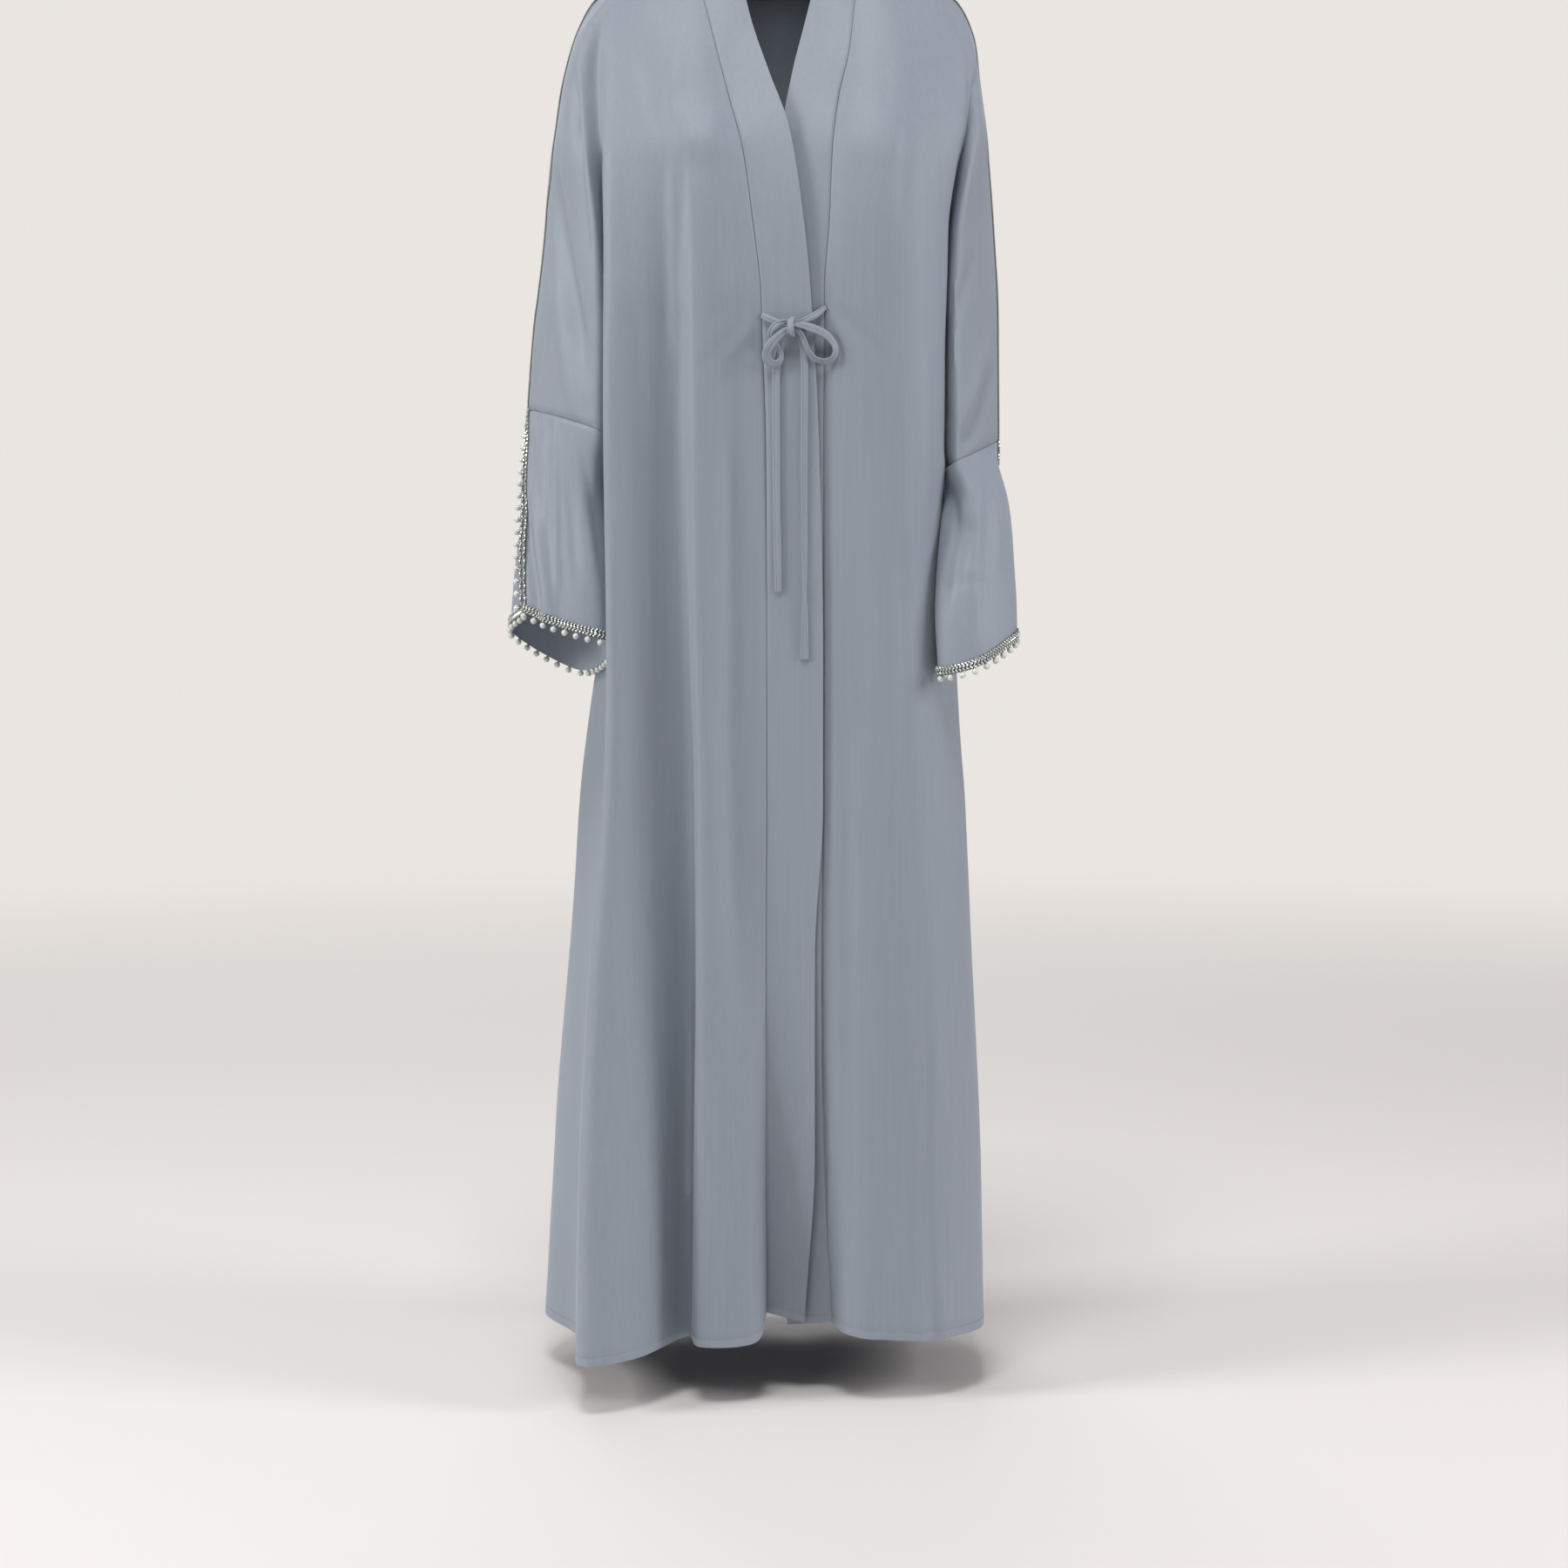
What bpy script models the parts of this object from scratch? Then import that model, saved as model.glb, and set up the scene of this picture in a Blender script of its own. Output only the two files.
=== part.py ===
"""Abaya cloak, worn: an open-front cloak with grown-on upper sleeves and flared, slit lower sleeves.

Units are metres, +Z is up, the front faces -Y and +X is the wearer's left.
The origin is the middle of the neck opening at the height of the shoulder points.
The whole cloth is one middle surface of rows and columns. Every panel is cut from it
at its seams and given its wall, so that neighbouring panels share their seam lines.
Tables are in millimetres: a row is a level section, and a pair is (out, back), the
distance out from the middle and the distance behind the shoulder line.
"""

import math

import bpy
import numpy as np

MM = 0.001

WALL = 2.0
SEAM_GAP = 0.3
BRAID_THICK = 1.8
OVERARM_BRAID_HALF_WIDTH = 2.2
CUFF_BRAID_WIDTH = 9.0
UNDERARM = 340.0
ELBOW = 460.0
HEM = 1400.0
TIE_DIAMETER = 6.5
KNOT_SIZE = (12.0, 4.0, 17.0)

CLOTH_COLOUR = (0.235, 0.275, 0.335, 1.0)
BRAID_COLOUR = (0.62, 0.61, 0.58, 1.0)

RIGHT, LEFT = "right", "left"
OUTWARD = {RIGHT: -1.0, LEFT: 1.0}

# Levels of the section rows, as distances below the shoulder point.
UPPER_LEVELS = (0, 5, 20, 40, 65, 95, 130, 170, 215, 260, 305, 340)
TRIM_LEVEL = 0.6
BODY_LEVELS = (365, 400, 460, 530, 610, 700, 790, 880, 970, 1060, 1150, 1240, 1325, 1400)
SLEEVE_LEVELS = (362, 385, 410, 435, 460)

# Fronts. Columns: level, band seam, crest, ridge, valley, cone, edge, tuck, crease (side seam below
# the underarm). The right front falls in a ridge and a deep cone that grow towards the hem.
FRONT = {
    RIGHT: (
        (0, (88, 0), (96, 0), (104, 0), (112, 0), (121, 0), (130, 0), (139, 0), (148, 0)),
        (5, (86, -17), (95, -18), (104, -18), (113, -18), (122, -17), (132, -16), (141, -16), (150, -15)),
        (20, (81, -33), (91, -35), (101, -35), (113, -34), (125, -32), (140, -28), (149, -26), (158, -25)),
        (50, (71, -54), (84, -57), (97, -58), (113, -57), (134, -53), (156, -44), (165, -41), (173, -38)),
        (100, (58, -80), (74, -85), (89, -87), (108, -86), (134, -80), (164, -66), (171, -59), (177, -52)),
        (150, (45, -100), (65, -107), (84, -110), (106, -108), (134, -103), (167, -87), (171, -74), (175, -64)),
        (200, (32, -122), (57, -130), (80, -133), (101, -127), (134, -121), (168, -108), (168, -88), (173, -72)),
        (270, (22, -131), (50, -138), (80, -142), (98, -131), (134, -129), (167, -121), (164, -86), (169, -62)),
        (340, (14, -134), (46, -140), (80, -144), (96, -129), (134, -132), (166, -128), (156, -48), (164, 0)),
        (370, (13, -134), (45, -138), (80, -144), (94, -127), (132, -130), (166, -130), (153, -47), (150, 9)),
        (500, (9, -136), (41, -135), (80, -147), (92, -124), (130, -128), (165, -137), (153, -48), (151, 35)),
        (700, (8, -138), (38, -136), (77, -152), (89, -121), (129, -130), (164, -144), (154, -52), (184, 86)),
        (850, (8, -139), (36, -139), (73, -156), (84, -120), (129, -134), (168, -151), (166, -52), (204, 82)),
        (1000, (9, -138), (33, -143), (73, -161), (84, -118), (130, -142), (178, -165), (183, -54), (214, 74)),
        (1200, (10, -128), (24, -152), (74, -166), (86, -115), (134, -161), (187, -190), (196, -58), (231, 60)),
        (1400, (9, -106), (20, -158), (74, -169), (88, -116), (140, -189), (190, -213), (204, -58), (242, 36)),
    ),
    LEFT: (
        (0, (88, 0), (96, 0), (104, 0), (112, 0), (121, 0), (130, 0), (139, 0), (148, 0)),
        (5, (88, -17), (96, -18), (105, -18), (114, -18), (123, -17), (133, -16), (142, -16), (151, -15)),
        (20, (85, -33), (95, -35), (105, -35), (117, -34), (130, -32), (146, -28), (156, -25), (165, -23)),
        (50, (80, -54), (92, -57), (106, -58), (123, -55), (144, -48), (169, -37), (178, -32), (186, -28)),
        (100, (74, -80), (88, -85), (105, -86), (126, -82), (151, -71), (189, -50), (193, -45), (197, -41)),
        (150, (63, -101), (82, -108), (102, -110), (125, -106), (152, -94), (189, -67), (190, -59), (193, -53)),
        (200, (57, -122), (78, -130), (101, -132), (125, -126), (151, -112), (181, -84), (180, -73), (184, -64)),
        (270, (54, -131), (76, -138), (101, -140), (126, -133), (151, -117), (172, -90), (166, -75), (172, -60)),
        (340, (49, -134), (75, -140), (102, -141), (127, -134), (151, -118), (171, -89), (156, -46), (164, 0)),
        (370, (49, -134), (75, -140), (102, -141), (127, -134), (151, -118), (170, -89), (153, -45), (152, 9)),
        (500, (48, -136), (75, -141), (103, -142), (128, -136), (150, -121), (168, -92), (157, -45), (160, 30)),
        (610, (48, -137), (76, -142), (104, -143), (128, -136), (149, -120), (163, -95), (158, -40), (176, 38)),
        (700, (48, -137), (76, -143), (105, -145), (130, -138), (151, -121), (164, -95), (166, -36), (186, 45)),
        (850, (48, -137), (76, -144), (106, -147), (134, -141), (162, -124), (187, -90), (193, -30), (194, 58)),
        (1000, (47, -137), (77, -146), (108, -150), (138, -144), (168, -126), (194, -90), (201, -24), (200, 60)),
        (1200, (49, -131), (76, -148), (110, -152), (142, -146), (174, -127), (203, -87), (211, -16), (208, 62)),
        (1400, (58, -116), (72, -150), (108, -157), (143, -148), (178, -129), (208, -85), (216, -12), (213, 60)),
    ),
}

# Arms. Columns: level, crease in front (inner seam below the underarm), front of the arm, overarm
# seam, back of the arm, crease behind.
ARM = {
    RIGHT: (
        (0, (148, 0), (160, 0), (181, 0), (160, 0), (148, 0)),
        (5, (150, -15), (163, -14), (185, 1), (164, 17), (151, 18)),
        (20, (158, -25), (173, -24), (193, 2), (174, 30), (159, 32)),
        (50, (173, -38), (189, -37), (204, 3), (190, 43), (174, 44)),
        (100, (177, -52), (196, -53), (215, 4), (201, 53), (180, 50)),
        (150, (175, -64), (196, -66), (222, 5), (206, 58), (178, 54)),
        (200, (173, -72), (188, -84), (229, 6), (210, 60), (174, 54)),
        (270, (169, -62), (179, -92), (234, 7), (211, 64), (168, 44)),
        (340, (164, 0), (175, -96), (241, 8), (212, 66), (164, 0)),
        (370, (174, -6), (174, -96), (245, 8), (213, 65), (174, -6)),
        (460, (172, -8), (176, -92), (252, 7), (216, 60), (172, -8)),
    ),
    LEFT: (
        (0, (148, 0), (160, 0), (181, 0), (160, 0), (148, 0)),
        (5, (151, -15), (163, -14), (185, 2), (164, 17), (151, 18)),
        (20, (165, -23), (175, -21), (193, 5), (174, 30), (159, 32)),
        (50, (186, -28), (193, -24), (202, 10), (190, 43), (174, 44)),
        (100, (197, -41), (203, -34), (207, 14), (198, 52), (180, 50)),
        (150, (193, -53), (203, -52), (212, 17), (202, 57), (178, 54)),
        (200, (184, -64), (195, -73), (217, 18), (204, 59), (174, 54)),
        (270, (172, -60), (183, -87), (222, 19), (206, 60), (168, 42)),
        (340, (164, 0), (179, -93), (226, 19), (206, 56), (164, 0)),
        (370, (174, -6), (179, -94), (227, 18), (206, 53), (174, -6)),
        (460, (173, -26), (181, -99), (228, 12), (208, 42), (173, -26)),
    ),
}

# Heights of the elbow seam at the inner seam, the front of the arm, the overarm and the back of it.
ELBOW_LEVEL = {RIGHT: (500, 477, 458, 482), LEFT: (517, 508, 489, 500)}

# Lower sleeves, from the elbow seam to the cuff. Each column is (out, back, level): front edge of
# the slit, outer front, front, inner side, back, outer back, back edge of the slit.
LOWER_SLEEVE = {
    RIGHT: (
        ((257, -20, 528), (238, -44, 536), (186, -74, 548), (170, -42, 560), (212, 50, 552), (256, 28, 541),
         (252, 2, 531)),
        ((260, -44, 598), (234, -63, 607), (178, -84, 620), (166, -64, 634), (212, 50, 648), (267, 25, 618),
         (254, -16, 602)),
        ((259, -60, 659), (230, -76, 671), (176, -91, 686), (164, -80, 689), (206, 54, 727), (272, 26, 686),
         (254, -34, 662)),
    ),
    LEFT: (
        ((226, -4, 545), (235, -50, 549), (200, -112, 562), (168, -98, 568), (202, -22, 558), (212, -3, 552),
         (221, 13, 547)),
        ((230, -38, 632), (241, -84, 636), (196, -137, 648), (161, -121, 652), (200, -50, 644), (212, -36, 639),
         (224, -24, 634)),
        ((231, -56, 682), (241, -102, 686), (200, -147, 711), (164, -129, 720), (202, -64, 704), (214, -52, 694),
         (226, -43, 685)),
    ),
}

# Back. Columns: level, centre, half way to the shoulder point, shoulder point, blade, outer.
BACK = (
    (0, (0, 55), (56, 42), (88, 0), (112, 0), (132, 0)),
    (5, (0, 59), (57, 49), (88, 19), (112, 20), (133, 19)),
    (20, (0, 67), (57, 60), (89, 38), (115, 37), (139, 34)),
    (50, (0, 77), (56, 74), (90, 62), (121, 57), (148, 50)),
    (100, (0, 88), (54, 89), (92, 84), (127, 76), (155, 64)),
    (150, (0, 95), (54, 98), (92, 95), (129, 85), (158, 70)),
    (200, (0, 99), (54, 103), (92, 102), (130, 94), (160, 78)),
    (270, (0, 101), (54, 106), (92, 106), (131, 98), (162, 82)),
    (340, (0, 102), (54, 107), (92, 108), (132, 102), (164, 84)),
    (500, (0, 107), (54, 112), (92, 113), (132, 107), (162, 92)),
    (700, (0, 118), (55, 124), (94, 125), (136, 121), (172, 112)),
    (1000, (0, 138), (57, 145), (99, 146), (144, 138), (182, 118)),
    (1200, (0, 150), (60, 158), (104, 160), (150, 150), (196, 122)),
    (1400, (0, 160), (62, 170), (108, 172), (158, 160), (206, 124)),
)
NECK_DROP = (18, 12, 0)
SHOULDER_DROP = 45.0

# Hem levels: fronts from the band seam to the side seam, then the back from the side to the centre.
HEM_LEVELS = {
    RIGHT: (1372, 1391, 1393, 1394, 1400, 1402, 1408, 1405),
    LEFT: (1380, 1384, 1388, 1391, 1392, 1394, 1397, 1399),
}
BACK_HEM_LEVEL = 1408

# Bands. Columns: level of the seam, free edge (out, back, level); out is negative past the middle.
BAND_EDGE = {
    RIGHT: (
        (0, (62, -5, -42)),
        (5, (59, -12, -38)),
        (20, (51, -26, -24)),
        (50, (38, -43, 12)),
        (100, (23, -63, 72)),
        (150, (6, -89, 122)),
        (200, (-14, -117, 178)),
        (270, (-27, -135, 258)),
        (340, (-35, -139, 334)),
        (500, (-44, -141, 500)),
        (700, (-48, -142, 700)),
        (850, (-48, -142, 850)),
        (1000, (-40, -143, 1000)),
        (1200, (-40, -139, 1200)),
        (1400, (-30, -116, 1380)),
    ),
    LEFT: (
        (0, (62, -5, -42)),
        (5, (60, -12, -38)),
        (20, (54, -25, -24)),
        (50, (45, -41, 12)),
        (100, (30, -60, 72)),
        (150, (17, -82, 124)),
        (200, (7, -107, 182)),
        (270, (2, -124, 260)),
        (340, (-2, -129, 335)),
        (500, (-4, -130, 500)),
        (700, (-5, -131, 700)),
        (850, (-5, -131, 850)),
        (1000, (-5, -130, 1000)),
        (1200, (-3, -122, 1200)),
        (1400, (13, -98, 1386)),
    ),
}
BAND_BACK_EDGE = ((0, 32, -30), (40, 24, -34), (62, -5, -42))
BAND_SPANS = 3

# Soft flutes that grow towards the hem: panel, out at the top, out at the hem, half width, depth at
# the hem, level where it starts. Out is signed here: negative is the wearer's right.
FLUTES = (
    ("back", -128, -160, 34, 16, 480),
    ("back", -70, -88, 30, 20, 380),
    ("back", -14, -20, 32, 15, 300),
    ("back", 40, 50, 28, 18, 420),
    ("back", 92, 116, 32, 20, 350),
    ("back", 140, 172, 26, 12, 560),
    ("left_front", 132, 145, 16, 4, 900),
    ("left_front", 150, 172, 14, 4, 800),
    ("left_front", 88, 92, 20, 5, 700),
)

# Control columns of a section that runs from the band seam over the arm to the centre back.
CREASE, ARM_FRONT, OVERARM, ARM_BACK, BACK_CREASE = 7, 8, 9, 10, 11
# Columns of the back table, and the steps from its outer column to the shoulder point.
BACK_SHOULDER = 2
BLADE_COLUMNS = 2

# Columns of the grid: spans between control columns, and even rows down the lower sleeve.
FRONT_SPANS = 2
BODY_SPANS = CREASE * FRONT_SPANS
CREASE_TO_ARM_SPANS = 3
ARM_TO_TRIM_SPANS = 3
NECK_SPANS = 4
LOWER_SLEEVE_ROWS = 6

# Ties, from the band seam through the knot and its loop to the free end: (across, back, level).
TIE_ROUTE = {
    RIGHT: (
        (-12, -138.3, 363), (-6, -142.6, 367), (1, -146.0, 371), (8, -146.5, 373), (11.8, -149.5, 374.5),
        (10.8, -153.4, 377), (5, -153.6, 380), (-2, -153.6, 386), (-8.5, -153.2, 395), (-11, -152.8, 404),
        (-7, -152.8, 412), (-0.5, -153, 413), (4, -153.4, 406), (5, -153.6, 396), (9.5, -153.4, 387.5),
        (11.8, -149.8, 386), (8.5, -146.5, 389.5), (4.5, -146, 400), (1.5, -145.6, 415), (0.5, -145.6, 450),
        (1.5, -145.8, 500), (2, -146, 560), (3, -146, 610), (3.5, -146, 636),
    ),
    LEFT: (
        (49, -137.9, 356), (42, -142.4, 361), (34, -146.5, 367), (24, -146.5, 372), (18.6, -149.5, 373.5),
        (18.4, -153.5, 376.5), (26, -153.6, 376.5), (37, -153.6, 380), (47, -153.0, 386), (56, -152.0, 394),
        (61, -151.5, 403), (57, -151.8, 411), (48, -152.5, 412.5), (39, -153.2, 407), (31.5, -153.6, 398),
        (20.2, -153.5, 387), (18.6, -150, 385.5), (21, -146.6, 390), (25.5, -146.2, 400), (28, -146, 415),
        (28.5, -146.2, 450), (28.5, -146.4, 520), (29, -146.6, 600), (29.5, -146.8, 660), (29.5, -146.8, 703),
    ),
}
# Route points before this one belong to the bow, and need finer steps than the hanging tail.
TIE_TAIL_START = 18
BOW_POINT_SPACING = 6.0
TAIL_POINT_SPACING = 20.0
KNOT_PLACE = (15.2, -158.75, 380.5)


def clear_scene():
    for old in list(bpy.data.objects):
        bpy.data.objects.remove(old, do_unlink=True)


def hermite(knots, values, at, tangents):
    """Cubic through values at knots, with the given tangents, read at the places in at."""
    span = np.clip(np.searchsorted(knots, at, side="right") - 1, 0, len(knots) - 2)
    width = (knots[span + 1] - knots[span])[:, None]
    t = ((at - knots[span]) / (knots[span + 1] - knots[span]))[:, None]
    start, end = values[span], values[span + 1]
    lift = (2 * t**3 - 3 * t**2 + 1) * start + (3 * t**2 - 2 * t**3) * end
    return lift + (t**3 - 2 * t**2 + t) * width * tangents[span] + (t**3 - t**2) * width * tangents[span + 1]


def down_the_table(levels, values, at):
    """Values between the rows of a table, by a cubic that never overshoots a row."""
    knots, values = np.asarray(levels, float), np.asarray(values, float)
    slopes = np.diff(values, axis=0) / np.diff(knots)[:, None]
    tangents = np.zeros_like(values)
    before, after = slopes[:-1], slopes[1:]
    same_way = before * after > 0
    safe = np.where(same_way, np.abs(before) + np.abs(after), 1.0)
    tangents[1:-1] = np.where(same_way, 2 * np.abs(before * after) / safe * np.sign(before), 0.0)
    tangents[0], tangents[-1] = slopes[0], slopes[-1]
    return hermite(knots, values, np.asarray(at, float), tangents)


class Section:
    """A smooth line through the control points of one row, read by distance along it."""

    DETAIL = 12

    def __init__(self, controls, closed=False):
        points = np.asarray(controls, float)
        if closed:
            points = np.vstack([points[-2], points, points[1]])
        steps = np.maximum(np.linalg.norm(np.diff(points, axis=0), axis=1), 1e-6)
        knots = np.concatenate([[0], np.cumsum(np.sqrt(steps))])
        slopes = np.diff(points, axis=0) / np.diff(knots)[:, None]
        widths = np.diff(knots)[:, None]
        tangents = np.zeros_like(points)
        mixed = slopes[:-1] * widths[1:] + slopes[1:] * widths[:-1]
        tangents[1:-1] = mixed / (widths[1:] + widths[:-1])
        tangents[0], tangents[-1] = slopes[0], slopes[-1]
        first, last = (1, len(points) - 2) if closed else (0, len(points) - 1)
        fine = [np.linspace(knots[k], knots[k + 1], self.DETAIL, endpoint=False) for k in range(first, last)]
        self.line = hermite(knots, points, np.append(np.concatenate(fine), knots[last]), tangents)
        lengths = np.linalg.norm(np.diff(self.line, axis=0), axis=1)
        self.distance = np.concatenate([[0], np.cumsum(lengths)])
        self.marks = self.distance[:: self.DETAIL]

    def at(self, distance):
        return np.array([np.interp(distance, self.distance, self.line[:, k]) for k in range(3)])

    def between(self, first, last, count):
        """Points at even steps from control first to control last, both included."""
        return [self.at(d) for d in np.linspace(self.marks[first], self.marks[last], count + 1)]

    def per_span(self, first, last, count):
        """Points from control first to control last with count steps in each span."""
        points = [self.at(self.marks[first])]
        step = 1 if last > first else -1
        for k in range(first, last, step):
            points += self.between(k, k + step, count)[1:]
        return points


class Cloth:
    """The middle surface: shared points, and quads listed by the panel that they belong to."""

    def __init__(self):
        self.points = []
        self.quads = {}

    def point(self, place):
        self.points.append(np.asarray(place, float) * MM)
        return len(self.points) - 1

    def quad(self, panel, corners):
        self.quads.setdefault(panel, []).append(tuple(corners))

    def grid(self, panel, rows, flip=False):
        for upper, lower in zip(rows, rows[1:]):
            for k in range(len(upper) - 1):
                corners = (upper[k], upper[k + 1], lower[k + 1], lower[k])
                self.quad(panel, corners[::-1] if flip else corners)

    def finish(self):
        """Average the faces' normals at every shared point, each weighted by its corner's angle."""
        self.points = np.array(self.points)
        self.normals = np.zeros_like(self.points)
        for quads in self.quads.values():
            for quad in quads:
                p = self.points[list(quad)]
                normal = unit(np.cross(p[2] - p[0], p[3] - p[1]))
                for k in range(4):
                    a, b = unit(p[k - 1] - p[k]), unit(p[(k + 1) % 4] - p[k])
                    self.normals[quad[k]] += math.acos(float(np.clip(a @ b, -1, 1))) * normal
        self.normals /= np.maximum(np.linalg.norm(self.normals, axis=1), 1e-9)[:, None]


def unit(vector):
    return vector / max(float(np.linalg.norm(vector)), 1e-12)


def trim_step(way):
    """Half the overarm braid's width in the direction of way."""
    return unit(way) * OVERARM_BRAID_HALF_WIDTH * MM


def mirror_out(side, pair, level):
    return (OUTWARD[side] * pair[0], pair[1], -level)


def table_rows(table, levels):
    """The (out, back) pairs of each column, read at the levels."""
    pairs = np.array([[pair for pair in row[1:]] for row in table], float)
    flat = pairs.reshape(len(table), -1)
    return down_the_table([row[0] for row in table], flat, levels).reshape(len(levels), -1, 2)


def shoulder_level(out):
    """The shoulder seam falls from the neck to the shoulder tip, faster towards the tip."""
    share = np.clip((out - 88.0) / (181.0 - 88.0), 0, 1)
    return SHOULDER_DROP * (0.75 * share + 0.25 * share**3)


def flute(panel, point):
    """How far out of the panel the soft flutes carry a point."""
    level = -point[2]
    depth = 0.0
    for name, top, foot, half_width, full, start in FLUTES:
        if name != panel or level <= start:
            continue
        share = (level - start) / (HEM - start)
        middle = top + (foot - top) * share
        offset = abs(point[0] - middle) / (half_width * (0.75 + 0.25 * share))
        if offset < 1:
            depth += full * share**1.3 * math.cos(offset * math.pi / 2) ** 2
    return depth


def fluted(panel, point):
    way = 1.0 if panel == "back" else -1.0
    return (point[0], point[1] + way * flute(panel, point), point[2])


class Side:
    """One half of the cloak: the shared points of its front, back, arm, lower sleeve and band."""

    def __init__(self, cloth, side, centre_line):
        self.cloth, self.side, self.centre_line = cloth, side, centre_line
        self.front, self.back, self.front_sleeve, self.back_sleeve = [], [], [], []
        self.make_upper_rows()
        self.make_body_rows()
        self.make_sleeve_rows()
        self.make_lower_sleeve()
        self.make_band()

    def add(self, points, panel=None):
        return [self.cloth.point(fluted(panel, p) if panel else p) for p in points]

    def make_upper_rows(self):
        """Rows from the shoulder seam to the underarm, each across body and arm together."""
        levels = np.array(UPPER_LEVELS, float)
        front = table_rows(FRONT[self.side], levels)
        arm = table_rows(ARM[self.side], levels)
        back = table_rows(BACK, levels)
        arm_drops = [shoulder_level(out) for out, _ in ARM[self.side][0][1:]]
        body_drops = [shoulder_level(out) for out, _ in FRONT[self.side][0][1:]]
        back_drops = list(NECK_DROP) + [shoulder_level(out) for out, _ in BACK[0][-BLADE_COLUMNS:]]
        for i, level in enumerate(levels):
            keep = 1 - level / UNDERARM

            def place(pair, drop):
                return mirror_out(self.side, pair, level + keep * drop)

            body = [place(pair, drop) for pair, drop in zip(front[i], body_drops)]
            arms = [place(pair, drop) for pair, drop in zip(arm[i], arm_drops)]
            backs = [place(pair, drop) for pair, drop in zip(back[i], back_drops)]
            if i == 0:
                self.make_shoulder_row(body, arms, backs)
                continue
            line = Section(body + arms[1:] + backs[::-1])
            centre = len(line.marks) - 1
            shoulder = centre - BACK_SHOULDER
            over_id = self.cloth.point(line.at(line.marks[OVERARM]))
            front_ids = self.add(line.per_span(0, CREASE, FRONT_SPANS))
            crease_id = front_ids[-1]
            front_ids += self.add(self.arm_points(line, CREASE, ARM_FRONT, OVERARM)[1:]) + [over_id]
            neck_ids = self.add(line.between(centre, shoulder, NECK_SPANS)[1:])
            blade_ids = self.add(line.between(shoulder, BACK_CREASE, BODY_SPANS)[1:])
            if level == UNDERARM:
                blade_ids[-1] = crease_id
            arm_ids = self.add(self.arm_points(line, BACK_CREASE, ARM_BACK, OVERARM)[1:]) + [over_id]
            self.front.append(front_ids)
            self.back.append([self.centre_line[i + 1]] + neck_ids + blade_ids + arm_ids)
        self.make_trim_row()

    def make_trim_row(self):
        """A row beside the shoulder seam and the back neck, half an overarm braid away from them."""
        place = self.cloth.points
        tip, below_tip = self.front[0][-1], self.front[1][-1]
        past_tip = self.cloth.point((place[tip] + trim_step(place[below_tip] - place[tip])) / MM)
        for rows in (self.front, self.back):
            seam, below = rows[0], rows[1]
            before_tip = len(seam) - 2
            row = []
            for k in range(before_tip):
                along = place[seam[k + 1]] - place[seam[max(k - 1, 0)]]
                row.append(self.trim_point(seam[k], below[k], along))
            along = place[below_tip] - place[seam[before_tip]]
            row.append(self.trim_point(tip, below[before_tip - 1], along))
            row.append(past_tip)
            rows.insert(1, row)
        self.back[1][0] = self.centre_line[1]

    def trim_point(self, seam_id, below_id, along):
        """Half a braid's width from a seam point, square to the seam."""
        start = self.cloth.points[seam_id]
        way = self.cloth.points[below_id] - start
        way = way - unit(along) * float(way @ unit(along))
        return self.cloth.point((start + trim_step(way)) / MM)

    def make_shoulder_row(self, body, arms, backs):
        """The shoulder seam, which front and back share, and the back neck."""
        seam = Section(body + arms[1:3])
        ids = self.add(seam.per_span(0, CREASE, FRONT_SPANS))
        ids += self.add(self.arm_points(seam, CREASE, ARM_FRONT, OVERARM)[1:])
        ids += self.add([seam.at(seam.marks[OVERARM])])
        neck = Section(backs[: BACK_SHOULDER + 1])
        neck_ids = self.add(neck.between(0, BACK_SHOULDER, NECK_SPANS)[1:-1])
        self.front.append(ids)
        self.back.append([self.centre_line[0]] + neck_ids + ids)

    def arm_points(self, line, crease, arm, over):
        """From the crease to the overarm seam, with the two columns that carry the braids."""
        way = 1 if over > arm else -1
        narrow = line.marks[over] - way * OVERARM_BRAID_HALF_WIDTH
        wide = narrow - way * CUFF_BRAID_WIDTH
        points = line.between(crease, arm, CREASE_TO_ARM_SPANS)
        points += [line.at(d) for d in np.linspace(line.marks[arm], wide, ARM_TO_TRIM_SPANS + 1)[1:]]
        return points + [line.at(narrow)]

    def make_body_rows(self):
        """Rows of the body below the underarm, from the band seam round the side to the centre back."""
        levels = np.array(BODY_LEVELS, float)
        front = table_rows(FRONT[self.side], levels)
        back = table_rows(BACK, levels)
        first_front = self.front[-1][: BODY_SPANS + 1]
        first_back = self.back[-1][: NECK_SPANS + BODY_SPANS + 1]
        self.body_front, self.body_back = [first_front], [first_back]
        for i, level in enumerate(levels):
            share = (level - UNDERARM) / (HEM - UNDERARM)
            body = [self.hung(pair, share, hem) for pair, hem in zip(front[i], HEM_LEVELS[self.side])]
            backs = [self.hung(pair, share, BACK_HEM_LEVEL) for pair in back[i]]
            line = Section(body + backs[::-1])
            centre = len(line.marks) - 1
            shoulder = centre - BACK_SHOULDER
            front_ids = self.add(line.per_span(0, CREASE, FRONT_SPANS), self.side + "_front")
            neck_ids = self.add(line.between(centre, shoulder, NECK_SPANS)[1:], "back")
            blade_ids = self.add(line.between(shoulder, CREASE, BODY_SPANS)[1:-1], "back") + [front_ids[-1]]
            self.body_front.append(front_ids)
            self.body_back.append([self.centre_line[len(UPPER_LEVELS) + 1 + i]] + neck_ids + blade_ids)

    def hung(self, pair, share, hem):
        return mirror_out(self.side, pair, UNDERARM + share * (hem - UNDERARM))

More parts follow.
